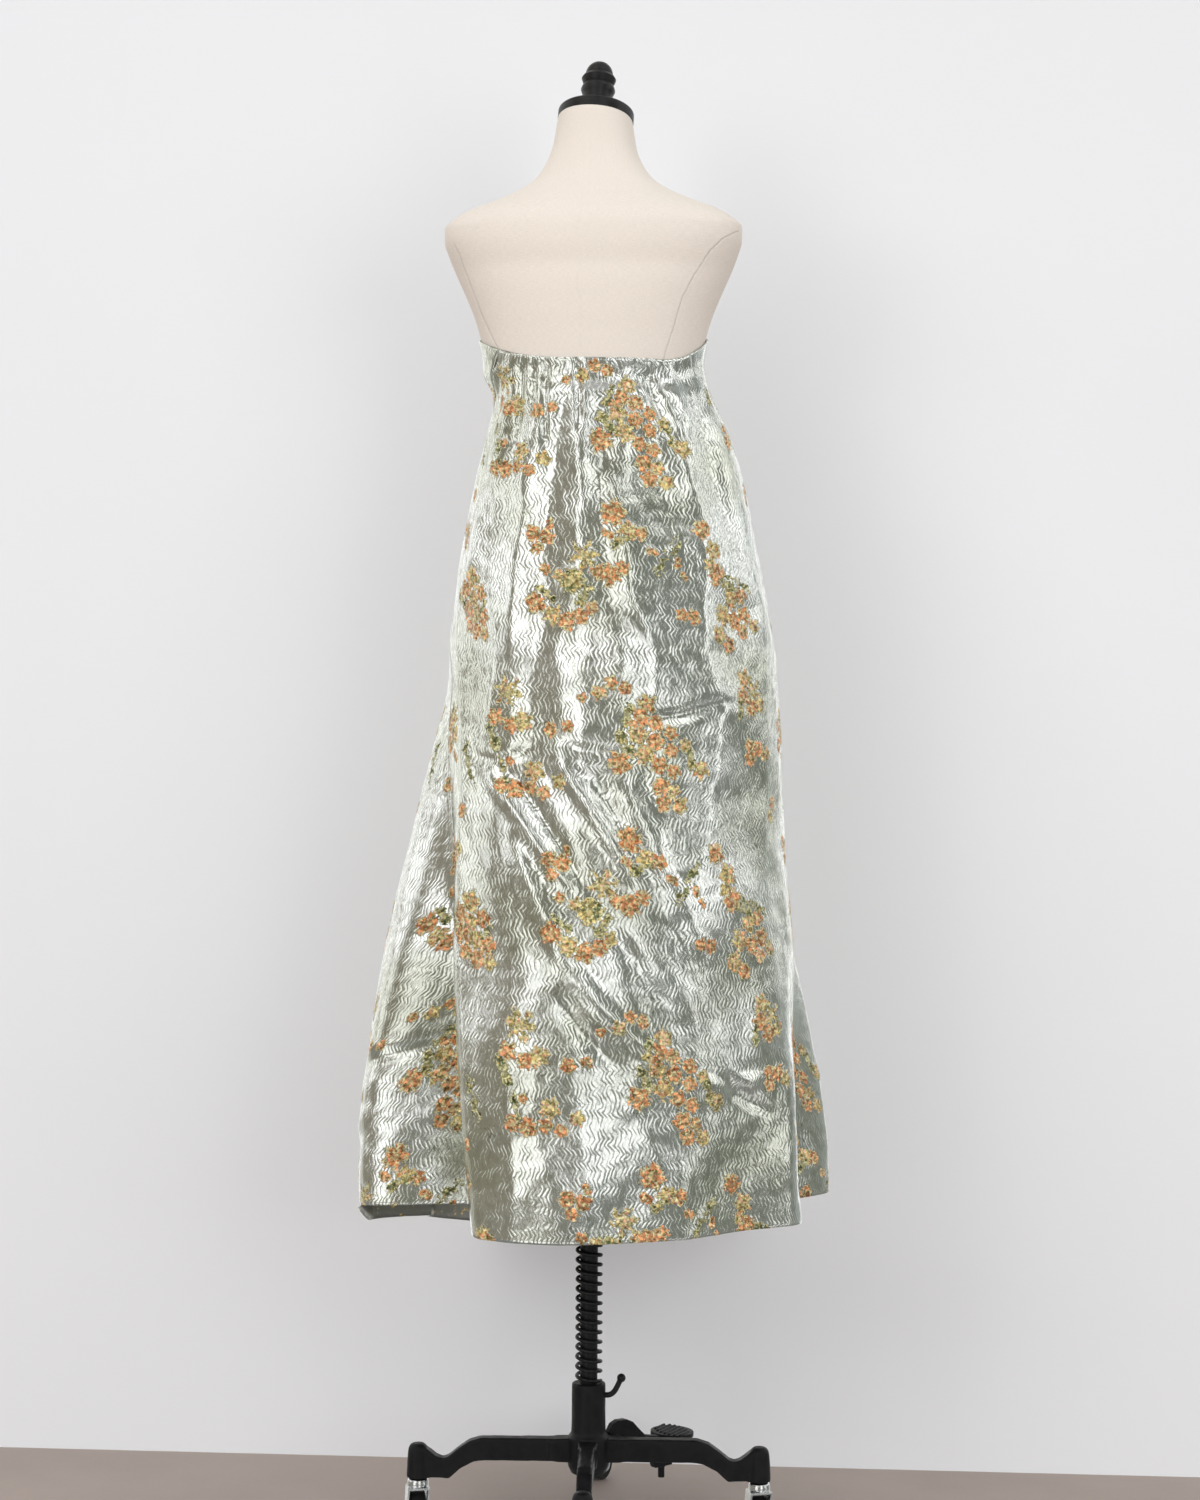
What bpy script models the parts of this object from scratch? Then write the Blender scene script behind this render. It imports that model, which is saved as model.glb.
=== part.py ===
"""A strapless midi dress worn by a limbless dress form on a wheeled iron stand.

Units are metres and +Z is up.  The origin is on the floor, on the pole's axis.  The dress shows its
back to -Y, and +X is the right hand of someone who looks at that back.  Angles round the pole are in
degrees, from the centre of the back (-Y) towards +X.

The dress is three cloth walls: a back panel that is gathered into its straight top edge and falls
free, a fitted front bodice, and a front skirt joined to it under the bust.  Their common surface is
`garment_radius`, a radius round the pole at each angle and height, made of plain sections and folds.
"""

import math

import bmesh
import bpy
import numpy as np
from mathutils import Matrix

PART = "strapless_midi_dress_on_form"
SEAM_GAP = 0.0003
FULL_TURN = 360.0
# How far a cutter reaches past the face that it opens.
CUT_PAST = 0.020

# ---------------------------------------------------------------- cloth sizes
CLOTH_THICK = 0.0016
CLOTH_EASE = 0.0018
FIT_DROP_BACK = 0.048
FIT_TOP_FRONT, FIT_END_FRONT = 1.440, 1.360
FIT_BACK_DEG, FIT_BLEND_DEG = 125.0, 35.0
ROWS, ROW_SPREAD, WAIST_ROW = 26, 1.45, 6
SEAM_ROUNDS, HEM_SAMPLES = 8, 721
FIT_BACK_SHARE = 0.75
BACK_COLUMNS, SKIRT_COLUMNS, BODICE_COLUMNS = 34, 38, 30
GATHER_DEPTH, GATHER_COUNT, GATHER_FADE = 0.0032, 13, 0.085

# The section of the cloth round the pole, before its folds: how far it reaches on each side.
SECTIONS = (
    # (height, reach to the left, to the right, to the back, to the front)
    (1.580, 0.150, 0.152, 0.106, 0.120),
    (1.530, 0.147, 0.150, 0.106, 0.128),
    (1.500, 0.143, 0.147, 0.108, 0.130),
    (1.465, 0.129, 0.157, 0.115, 0.122),
    (1.426, 0.136, 0.175, 0.124, 0.116),
    (1.374, 0.149, 0.192, 0.137, 0.119),
    (1.322, 0.159, 0.204, 0.149, 0.128),
    (1.283, 0.168, 0.212, 0.158, 0.136),
    (1.205, 0.178, 0.227, 0.176, 0.152),
    (1.140, 0.184, 0.237, 0.190, 0.166),
    (1.088, 0.187, 0.242, 0.201, 0.178),
    (1.023, 0.202, 0.246, 0.215, 0.191),
    (0.945, 0.220, 0.248, 0.231, 0.206),
    (0.867, 0.235, 0.253, 0.247, 0.221),
    (0.789, 0.250, 0.262, 0.261, 0.236),
    (0.724, 0.262, 0.271, 0.271, 0.248),
    (0.646, 0.276, 0.280, 0.281, 0.262),
    (0.568, 0.286, 0.288, 0.289, 0.274),
    (0.500, 0.288, 0.293, 0.294, 0.283),
    (0.420, 0.289, 0.299, 0.300, 0.292),
    (0.360, 0.290, 0.301, 0.304, 0.298),
)

# The crests and troughs of the open skirt, in order round the pole.  Each begins at its own height
# and is deepest at the hem; the surface eases from each one to the next.
FOLDS = (
    # (angle at the hem, angle where it begins, depth outward, height where it begins)
    (-168.0, -168.0, 0.010, 1.00),
    (-148.0, -148.0, -0.016, 0.95),
    (-131.0, -131.0, 0.012, 0.95),
    (-113.0, -113.0, -0.050, 0.90),
    (-92.0, -92.0, 0.002, 1.00),
    (-67.0, -76.0, 0.013, 1.12),
    (-45.0, -61.0, -0.124, 1.12),
    (-21.5, -46.0, -0.008, 1.12),
    (-8.0, -18.0, 0.006, 0.90),
    (22.0, 15.0, -0.012, 0.90),
    (48.0, 44.0, -0.028, 0.90),
    (65.0, 66.0, 0.000, 0.95),
    (83.0, 84.0, -0.040, 0.84),
    (99.0, 99.0, -0.040, 0.84),
    (113.0, 112.0, 0.040, 0.98),
    (131.0, 131.0, -0.014, 0.86),
    (149.0, 149.0, 0.012, 0.95),
    (172.0, 172.0, -0.012, 1.00),
)

# Broad soft flutes that fall from the gathers of the back and flatten again lower down.
FLUTE_RISE, FLUTE_FALL_FROM = 0.22, 0.45
FLUTES = (
    # (angle at the top edge, angle at its low end, depth, half its width in degrees, height of its low end)
    (-52.0, -58.0, 0.008, 13.0, 0.98),
    (-27.0, -34.0, 0.011, 14.0, 0.86),
    (-1.0, -8.0, 0.009, 13.0, 0.92),
    (24.0, 14.0, 0.012, 14.0, 0.80),
    (50.0, 46.0, 0.011, 13.0, 0.90),
    (73.0, 76.0, 0.006, 11.0, 0.98),
    (128.0, 126.0, 0.005, 14.0, 0.90),
    (160.0, 160.0, 0.006, 15.0, 0.90),
    (-164.0, -164.0, 0.006, 15.0, 0.90),
    (-130.0, -128.0, 0.005, 14.0, 0.90),
)

TOP_EDGE = (
    # (angle, height)
    (-180.0, 1.570),
    (-130.0, 1.561),
    (-86.0, 1.541),
    (-70.0, 1.530),
    (-57.0, 1.520),
    (-40.0, 1.511),
    (-20.0, 1.507),
    (50.0, 1.506),
    (63.0, 1.511),
    (76.0, 1.525),
    (94.0, 1.543),
    (130.0, 1.561),
    (180.0, 1.570),
)
HEM = (
    # (angle, height)
    (-180.0, 0.352),
    (-150.0, 0.352),
    (-135.0, 0.360),
    (-112.0, 0.386),
    (-92.0, 0.392),
    (-80.0, 0.412),
    (-66.0, 0.434),
    (-52.0, 0.438),
    (-38.0, 0.424),
    (-15.0, 0.419),
    (70.0, 0.420),
    (112.0, 0.421),
    (140.0, 0.385),
    (180.0, 0.352),
)

SIDE_SEAMS = (
    # (height, angle of the left seam, angle of the right seam)
    (1.540, -55.0, 63.0),
    (1.465, -77.0, 80.0),
    (1.374, -87.0, 91.0),
    (1.200, -84.0, 92.0),
    (1.088, -67.0, 92.0),
    (0.900, -54.0, 92.0),
    (0.700, -48.0, 92.0),
    (0.420, -45.0, 92.0),
    (0.360, -45.0, 92.0),
)

# ---------------------------------------------------------------- dress form sizes
FORM = (
    # (height, half the width, reach to the back, to the front, how far its centre stands forward)
    (1.050, 0.138, 0.104, 0.088, 0.0),
    (1.062, 0.146, 0.111, 0.094, 0.0),
    (1.130, 0.152, 0.118, 0.098, 0.0),
    (1.200, 0.146, 0.113, 0.097, 0.0),
    (1.300, 0.120, 0.095, 0.091, 0.0),
    (1.380, 0.107, 0.082, 0.088, 0.0),
    (1.430, 0.114, 0.085, 0.101, 0.0),
    (1.465, 0.124, 0.091, 0.115, 0.0),
    (1.500, 0.136, 0.097, 0.124, 0.0),
    (1.547, 0.147, 0.099, 0.118, 0.0),
    (1.567, 0.153, 0.100, 0.113, 0.0),
    (1.595, 0.164, 0.100, 0.106, 0.0),
    (1.624, 0.177, 0.098, 0.098, 0.0),
    (1.651, 0.188, 0.093, 0.090, -0.006),
    (1.669, 0.1932, 0.088, 0.084, -0.010),
    (1.685, 0.1930, 0.083, 0.078, -0.012),
    (1.697, 0.1810, 0.078, 0.072, -0.012),
    (1.708, 0.1630, 0.072, 0.066, -0.010),
    (1.721, 0.1310, 0.065, 0.060, -0.005),
    (1.7355, 0.1010, 0.059, 0.056, 0.002),
    (1.750, 0.0800, 0.055, 0.053, 0.008),
    (1.769, 0.0655, 0.052, 0.051, 0.013),
    (1.793, 0.0555, 0.050, 0.050, 0.018),
    (1.831, 0.0490, 0.0485, 0.0485, 0.022),
)
FORM_SQUARENESS = 2.15
FORM_RING = 44
# Heights of more rings, each half way between two rows of FORM.
FORM_MORE_RINGS = (
    (1.062, 1.130),
    (1.200, 1.300),
    (1.300, 1.380),
    (1.500, 1.547),
    (1.793, 1.826),
)
NECK_TILT, NECK_ROLL = math.radians(14.0), math.radians(3.0)
NECK_TILT_FROM_Z = 1.735
FORM_BORE_RADIUS, FORM_BORE_TOP_Z = 0.0135, 1.420

CAP_RADIUS, CAP_THICK, CAP_ROUND = 0.0497, 0.0150, 0.0035
FINIAL_PROFILE = (
    # (distance up the finial's own axis, radius)
    (0.0000, 0.0215),
    (0.0050, 0.0195),
    (0.0205, 0.0190),
    (0.0250, 0.0207),
    (0.0300, 0.0226),
    (0.0345, 0.0212),
    (0.0380, 0.0188),
    (0.0410, 0.0208),
    (0.0460, 0.0226),
    (0.0500, 0.0202),
)
FINIAL_BALL_RADIUS, FINIAL_BALL_CENTRE = 0.0180, 0.0524
FINIAL_BALL_STEPS = (-5.0, 14.0, 33.0, 52.0, 71.0)

# ---------------------------------------------------------------- stand sizes
POLE_RADIUS, POLE_BOTTOM_Z, POLE_TOP_Z = 0.0115, 0.0903, 1.150
SLEEVE_RADIUS, SLEEVE_BORE_RADIUS, SLEEVE_BOTTOM_Z = 0.0180, 0.0120, 0.6200
FLANGE_RADIUS, FLANGE_THICK, FLANGE_NECK = 0.060, 0.004, 0.004
SPRING_RADIUS, SPRING_WIRE, SPRING_PITCH = 0.01560, 0.0024, 0.0125
SPRING_POINTS_A_TURN = 7

HUB_PROFILE = (
    # (radius, height), down the outside from the top
    (0.0188, 0.1880),
    (0.0218, 0.1862),
    (0.0222, 0.1300),
    (0.0240, 0.1215),
    (0.0270, 0.1170),
    (0.0270, 0.0820),
    (0.0200, 0.0705),
)
HUB_BORE_RADIUS, HUB_BORE_BOTTOM_Z = 0.0118, 0.0900
BASE_TURN = 2.7
LEG_ANGLES = tuple(BASE_TURN + quarter * 90.0 for quarter in range(4))
LEG_WIDTH = 0.0205
LEG_ROOT_RADIUS = 0.0273
BOSS_REACH = 0.2220
LEG_OUTLINE = (
    # (distance from the pole, height), along the top and back along the underside
    (0.0200, 0.1160),
    (0.1400, 0.1158),
    (0.1560, 0.1110),
    (0.1720, 0.0995),
    (0.1830, 0.0905),
    (0.1900, 0.0885),
    (0.1980, 0.0915),
    (0.2100, 0.1010),
    (0.2200, 0.1030),
    (0.2240, 0.0640),
    (0.1810, 0.0625),
    (0.1660, 0.0760),
    (0.1480, 0.0850),
    (0.1340, 0.0865),
    (0.0200, 0.0865),
)
BOSS_PROFILE = (
    # (radius, height), down the outside from the top
    (0.0060, 0.1068),
    (0.0100, 0.1050),
    (0.0125, 0.1000),
    (0.0137, 0.0900),
    (0.0150, 0.0640),
    (0.0150, 0.0622),
)
STEM_RADIUS, STEM_BORE_RADIUS, STEM_BORE_TOP_Z = 0.0050, 0.0053, 0.0960
STEM_BOTTOM_Z, STEM_CLEAR = 0.0550, 0.0020

WHEEL_RADIUS, WHEEL_WIDTH, WHEEL_SIDES = 0.0210, 0.0210, 20
WHEEL_BORE_RADIUS, AXLE_RADIUS, AXLE_HEAD = 0.0033, 0.0030, 0.0012
WHEEL_ROUND = 0.0025
CASTER_TRAIL = 0.0120
FORK_GAP, FORK_SHEET = 0.0242, 0.0024
FORK_TOP_Z, FORK_BRIDGE, BRIDGE_INSET = 0.0500, 0.0140, 0.0005
FORK_LUG_RADIUS, FORK_LUG_STEPS = 0.0085, (-165.0, -130.0, -95.0, -60.0, -25.0, 10.0)
CUP_PROFILE = (
    # (radius, height), down the outside from the top: the swivel's bearing cup
    (0.0090, 0.0618),
    (0.0128, 0.0600),
    (0.0138, 0.0560),
    (0.0138, 0.0525),
    (0.0120, 0.0490),
)
CASTER_TURNS = (197.0, 197.0, 150.0, 196.0)

LEVER_Z, LEVER_ROD, LEVER_BALL = 0.1720, 0.0036, 0.0057
LEVER_ROUTE = (
    # (distance from the pole, height above the lever's own axis)
    (0.0150, 0.0000),
    (0.0245, 0.0000),
    (0.0290, 0.0012),
    (0.0335, 0.0050),
    (0.0370, 0.0110),
    (0.0400, 0.0175),
    (0.0425, 0.0225),
)
LEVER_HOLE_RADIUS, LEVER_HOLE_FROM = 0.0040, 0.0146

PEDAL_ANGLE = BASE_TURN + 132.0
PEDAL_PIVOT = (0.0400, 0.1050)
PEDAL_PIN_RADIUS, PEDAL_HOLE_RADIUS = 0.0030, 0.0034
PEDAL_ARM_WIDTH = 0.0110
PEDAL_ARM = (
    # (distance from the pole, height), along the top and back along the underside
    (0.0320, 0.1180),
    (0.0390, 0.1280),
    (0.0480, 0.1315),
    (0.0620, 0.1310),
    (0.0730, 0.1260),
    (0.0840, 0.1150),
    (0.0950, 0.1050),
    (0.1180, 0.1000),
    (0.1500, 0.0980),
    (0.1500, 0.0920),
    (0.1420, 0.0580),
    (0.1130, 0.0580),
    (0.1000, 0.0860),
    (0.0700, 0.0960),
    (0.0400, 0.0940),
    (0.0330, 0.0990),
)
PEDAL_PLATE = {
    "reach": 0.1460,
    "half_length": 0.0310,
    "half_depth": 0.0270,
    "top_z": 0.1020,
    "thick": 0.0060,
}
PEDAL_SLOTS, PEDAL_SLOT_WIDTH, PEDAL_SLOT_PITCH = 5, 0.0040, 0.0088
PEDAL_SLOT_SHARE, PEDAL_SLOT_LEAN, PEDAL_SLOT_DEPTH = 0.62, 0.35, 0.0020
PEDAL_BOLT = {
    "reach": 0.1270,
    "radius": 0.0045,
    "top_z": 0.0700,
    "bottom_z": 0.0430,
}
EAR_THICK, EAR_GAP, EAR_REACH = 0.0034, 0.0116, 0.0480
EAR_ROOT, EAR_HALF_HEIGHT, PIN_HEAD = 0.0150, 0.0110, 0.0015


# ---------------------------------------------------------------- small maths
def ease(t):
    """A smooth step from 0 to 1."""
    t = np.clip(t, 0.0, 1.0)
    return t * t * (3.0 - 2.0 * t)


def smooth_rows(rows, column, at):
    """Column `column` of a table at `at`, a value of its first column, on a smooth monotone curve."""
    table = np.array(sorted(rows), float)
    x, y = table[:, 0], table[:, column]
    slope = np.diff(y) / np.diff(x)
    both = slope[:-1] * slope[1:]
    inner = np.where(both > 0.0, 2.0 * both / (slope[:-1] + slope[1:] + 1e-12), 0.0)
    tangent = np.concatenate([[slope[0]], inner, [slope[-1]]])
    at = np.clip(at, x[0], x[-1])
    i = np.clip(np.searchsorted(x, at) - 1, 0, len(x) - 2)
    span = x[i + 1] - x[i]
    t = (at - x[i]) / span
    rise = (
        y[i] * (1 + 2 * t) * (1 - t) ** 2
        + y[i + 1] * t * t * (3 - 2 * t)
        + span * (tangent[i] * t * (1 - t) ** 2 - tangent[i + 1] * t * t * (1 - t))
    )
    return rise


def turn_between(angle, centre):
    """The signed angle from centre to angle, in degrees, from -180 to 180."""
    return (angle - centre + 180.0) % FULL_TURN - 180.0


# ---------------------------------------------------------------- surfaces round the pole
def top_height(angle):
    return smooth_rows(TOP_EDGE, 1, turn_between(angle, 0.0))


def hem_height(angle):
    return smooth_rows(HEM, 1, turn_between(angle, 0.0))


def form_radius(angle, height):
    """The torso's radius at this angle and height, about the section's own centre."""
    half, back, front = (smooth_rows(FORM, c, height) for c in (1, 2, 3))
    a = np.radians(angle)
    depth = np.where(np.cos(a) > 0.0, back, front)
    n = FORM_SQUARENESS
    return (np.abs(np.sin(a) / half) ** n + np.abs(np.cos(a) / depth) ** n) ** (-1.0 / n)


def drape_radius(angle, height):
    """The free cloth's plain section, with no folds."""
    left, right, back, front = (smooth_rows(SECTIONS, c, height) for c in (1, 2, 3, 4))
    a = np.radians(angle)
    half = np.where(np.sin(a) > 0.0, right, left)
    depth = np.where(np.cos(a) > 0.0, back, front)
    return (np.abs(np.sin(a) / half) ** 2 + np.abs(np.cos(a) / depth) ** 2) ** -0.5


def fold_depth(angle, height):
    """How far the skirt's folds stand out here, eased from each crest or trough to the next."""
    hem = hem_height(angle)
    places, depths = [], []
    for at_hem, at_start, depth, start in FOLDS:
        down = np.clip((start - height) / (start - hem), 0.0, 1.0)
        places.append(at_start + (at_hem - at_start) * down)
        depths.append(depth * ease(down))
    places.append(places[0] + FULL_TURN)
    depths.append(depths[0])
    depth = np.zeros(np.broadcast(angle, height).shape)
    first = places[0]
    at = (angle - first) % FULL_TURN + first
    for i in range(len(FOLDS)):
        between = (at >= places[i]) & (at < places[i + 1])
        t = ease((at - places[i]) / (places[i + 1] - places[i]))
        depth = np.where(between, depths[i] + (depths[i + 1] - depths[i]) * t, depth)
    return depth


def flute_depth(angle, height):
    """How far the soft flutes under the gathers stand out here."""
    top = top_height(angle)
    depth = np.zeros(np.broadcast(angle, height).shape)
    for top_deg, low_deg, high, half_width, low_z in FLUTES:
        down = np.clip((top - height) / (top - low_z), 0.0, 1.0)
        centre = top_deg + (low_deg - top_deg) * down
        across = np.clip(np.abs(turn_between(angle, centre)) / half_width, 0.0, 1.0)
        rise = ease(down / FLUTE_RISE)
        fall = ease((down - FLUTE_FALL_FROM) / (1.0 - FLUTE_FALL_FROM))
        depth = depth + high * (1.0 - ease(across)) * rise * (1.0 - fall)
    return depth


def gather_depth(angle, height):
    """The small pleats of the gathered top edge of the back."""
    top = top_height(angle)
    left, right = side_seams(top)
    share = (angle - left) / (right - left)
    inside = (share > 0.0) & (share < 1.0)
    wave = 0.5 - 0.5 * np.cos(2.0 * math.pi * GATHER_COUNT * share)
    return np.where(inside, GATHER_DEPTH * wave * (1.0 - ease((top - height) / GATHER_FADE)), 0.0)


def side_seams(height):
    """The angles of the left and right seams between the back panel and the front pieces."""
    return smooth_rows(SIDE_SEAMS, 1, height), smooth_rows(SIDE_SEAMS, 2, height)


def garment_radius(angle, height):
    """The outer face of the cloth, as a radius round the pole."""
    top = top_height(angle)
    behind = ease((FIT_BACK_DEG - np.abs(turn_between(angle, 0.0))) / FIT_BLEND_DEG)
    fit_back = ease((height - top + FIT_DROP_BACK) / (FIT_BACK_SHARE * FIT_DROP_BACK))
    fit_front = ease((height - FIT_END_FRONT) / (FIT_TOP_FRONT - FIT_END_FRONT))
    fit = behind * fit_back + (1.0 - behind) * fit_front
    fitted = form_radius(angle, height) + CLOTH_EASE + CLOTH_THICK
    loose = drape_radius(angle, height) + fold_depth(angle, height) + flute_depth(angle, height)
    return fit * fitted + (1.0 - fit) * np.maximum(loose, fitted) + gather_depth(angle, height)


def cloth_normal(angle, height):
    """The outward unit normal of the cloth's outer face, the same for pieces that meet in a seam."""
    turn, rise = 0.25, 0.0005
    along = [at_pole(angle + d, height, garment_radius(angle + d, height)) for d in (-turn, turn)]
    up = [at_pole(angle, height + d, garment_radius(angle, height + d)) for d in (-rise, rise)]
    normal = np.cross(along[1] - along[0], up[1] - up[0])
    return normal / np.linalg.norm(normal, axis=-1, keepdims=True)


def at_pole(angle, height, radius):
    """Points at these angles, heights and radii round the pole."""
    a = np.radians(angle)
    return np.stack([radius * np.sin(a), -radius * np.cos(a), height + 0.0 * radius], axis=-1)


# ---------------------------------------------------------------- Blender helpers
def clear_scene():
    for obj in list(bpy.data.objects):
        bpy.data.objects.remove(obj, do_unlink=True)


def collection(name):
    made = bpy.data.collections.new(name)
    bpy.context.scene.collection.children.link(made)
    return made


def finish(name, colour, roughness, metallic=0.0):
    material = bpy.data.materials.new(name)
    material.use_nodes = True
    shader = material.node_tree.nodes["Principled BSDF"]
    shader.inputs["Base Color"].default_value = (*colour, 1.0)
    shader.inputs["Roughness"].default_value = roughness
    shader.inputs["Metallic"].default_value = metallic
    return material


def place(mesh, name, material, home=None):
    """A new object of this mesh, in the part's collection."""
    if not mesh.materials:
        mesh.materials.append(material)
    obj = bpy.data.objects.new(name, mesh)
    (home or PARTS).objects.link(obj)
    return obj


def mesh_of(bm, name, smooth=True):
    mesh = bpy.data.meshes.new(name)
    bm.to_mesh(mesh)
    bm.free()
    if smooth:
        mesh.shade_smooth()
        mesh.set_sharp_from_angle(angle=math.radians(35.0))
    return mesh


def loft(points, ring=False, caps=False):
    """A bmesh of quads through a grid of points, its rows running down and its columns round."""
    bm = bmesh.new()
    grid = [[bm.verts.new(p) for p in row] for row in points]
    columns = len(grid[0])
    for upper, lower in zip(grid[:-1], grid[1:]):
        for c in range(columns if ring else columns - 1):
            d = (c + 1) % columns
            bm.faces.new((upper[c], lower[c], lower[d], upper[d]))
    if caps:
        bm.faces.new(grid[0])
        bm.faces.new(reversed(grid[-1]))
    bm.normal_update()
    return bm


def wall_between(outer, inner):
    """A closed wall between two grids of points, its rows running down and its columns round."""
    bm = bmesh.new()
    out, back = ([[bm.verts.new(p) for p in row] for row in grid] for grid in (outer, inner))
    rows, columns = len(out), len(out[0])
    for r in range(rows - 1):
        for c in range(columns - 1):
            bm.faces.new((out[r][c], out[r + 1][c], out[r + 1][c + 1], out[r][c + 1]))
            bm.faces.new((back[r][c], back[r][c + 1], back[r + 1][c + 1], back[r + 1][c]))
    for r in range(rows - 1):
        bm.faces.new((out[r][0], back[r][0], back[r + 1][0], out[r + 1][0]))
        bm.faces.new((out[r][-1], out[r + 1][-1], back[r + 1][-1], back[r][-1]))
    for c in range(columns - 1):
        bm.faces.new((out[0][c], out[0][c + 1], back[0][c + 1], back[0][c]))
        bm.faces.new((out[-1][c], back[-1][c], back[-1][c + 1], out[-1][c + 1]))
    bm.normal_update()
    return bm


def applied(obj):
    """The object's mesh with its modifiers, curve bevel and place worked in, as a new mesh."""
    graph = bpy.context.evaluated_depsgraph_get()
    mesh = bpy.data.meshes.new_from_object(obj.evaluated_get(graph))
    mesh.transform(obj.matrix_world)
    bm = bmesh.new()
    bm.from_mesh(mesh)
    bmesh.ops.remove_doubles(bm, verts=bm.verts, dist=1e-6)
    bm.to_mesh(mesh)
    bm.free()
    return mesh


def solid_from(obj, name, material):
    """Replaces a helper object by a plain mesh object of the same shape."""
    bpy.context.view_layer.update()
    mesh = applied(obj)
    bpy.data.objects.remove(obj, do_unlink=True)
    mesh.name = name
    return place(mesh, name, material)


def turned(name, profile, material, steps=28, closed=False, matrix=None):
    """A solid of revolution about its own Z: (radius, height) points down its outside."""
    bm = bmesh.new()
    points = [bm.verts.new((r, 0.0, z)) for r, z in profile]
    if closed:
        points.append(points[0])
    else:
        first = bm.verts.new((0.0, 0.0, profile[0][1]))
        last = bm.verts.new((0.0, 0.0, profile[-1][1]))
        points = [first, *points, last]
    for a, b in zip(points[:-1], points[1:]):
        bm.edges.new((a, b))
    obj = place(mesh_of(bm, name, smooth=False), name, material)
    screw = obj.modifiers.new("Turn", "SCREW")
    screw.steps = screw.render_steps = steps
    screw.use_merge_vertices = True
    screw.merge_threshold = 0.00001
    if matrix is not None:
        obj.matrix_world = matrix
    return solid_from(obj, name, material)


def cylinder(name, radius, low, high, material, sides=24, matrix=None):
    """A closed cylinder from height low to high on its own Z."""
    bm = bmesh.new()
    bmesh.ops.create_cone(
        bm, cap_ends=True, segments=sides, radius1=radius, radius2=radius, depth=high - low
    )
    bmesh.ops.translate(bm, verts=bm.verts, vec=(0.0, 0.0, (low + high) / 2.0))
    if matrix is not None:
        bmesh.ops.transform(bm, matrix=matrix, verts=bm.verts)
    return place(mesh_of(bm, name), name, material)


def block(name, low, high, material, matrix=None):
    """A box between two corners."""
    bm = bmesh.new()
    bmesh.ops.create_cube(bm, size=1.0)
    size = [h - l for l, h in zip(low, high)]
    middle = [(h + l) / 2.0 for l, h in zip(low, high)]
    bmesh.ops.scale(bm, vec=size, verts=bm.verts)
    bmesh.ops.translate(bm, vec=middle, verts=bm.verts)
    if matrix is not None:
        bmesh.ops.transform(bm, matrix=matrix, verts=bm.verts)
    return place(mesh_of(bm, name, smooth=False), name, material)


def plate(name, outline, thick, material, matrix):
    """A flat outline in its own XY, extruded half of thick to each side."""
    curve = bpy.data.curves.new(name, "CURVE")
    curve.dimensions = "2D"
    curve.fill_mode = "BOTH"
    curve.extrude = thick / 2.0
    spline = curve.splines.new("POLY")
    spline.points.add(len(outline) - 1)
    for point, (x, y) in zip(spline.points, outline):
        point.co = (x, y, 0.0, 1.0)
    spline.use_cyclic_u = True
    obj = bpy.data.objects.new(name, curve)
    PARTS.objects.link(obj)
    obj.matrix_world = matrix
    return solid_from(obj, name, material)


def wire(name, points, radius, material, resolution=2):
    """A round wire through the points, with closed ends."""
    curve = bpy.data.curves.new(name, "CURVE")
    curve.dimensions = "3D"
    curve.bevel_depth = radius
    curve.bevel_resolution = resolution
    curve.use_fill_caps = True
    spline = curve.splines.new("POLY")
    spline.points.add(len(points) - 1)
    for point, co in zip(spline.points, points):
        point.co = (*co, 1.0)
    obj = bpy.data.objects.new(name, curve)
    PARTS.objects.link(obj)
    return solid_from(obj, name, material)


def combine(obj, others, operation):
    """A Boolean of obj with each of the others, which are used up."""
    for other in others:
        modifier = obj.modifiers.new(operation.title(), "BOOLEAN")
        modifier.operation = operation
        modifier.object = other
        bpy.context.view_layer.update()
        mesh = applied(obj)
        obj.modifiers.clear()
        old = obj.data
        obj.data = mesh
        mesh.name = obj.name
        obj.matrix_world = Matrix.Identity(4)
        bpy.data.objects.remove(other, do_unlink=True)
        if old.users == 0:
            bpy.data.meshes.remove(old)
    obj.data.shade_smooth()
    obj.data.set_sharp_from_angle(angle=math.radians(35.0))
    return obj


def upright(angle_deg):
    """Takes an outline's (distance from the pole, height) in XY to the plane at this angle."""
    flat_to_upright = Matrix(((1, 0, 0, 0), (0, 0, 1, 0), (0, 1, 0, 0), (0, 0, 0, 1)))
    flat_to_upright[1][2] = -1.0
    return Matrix.Rotation(math.radians(angle_deg - 90.0), 4, "Z") @ flat_to_upright


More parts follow.
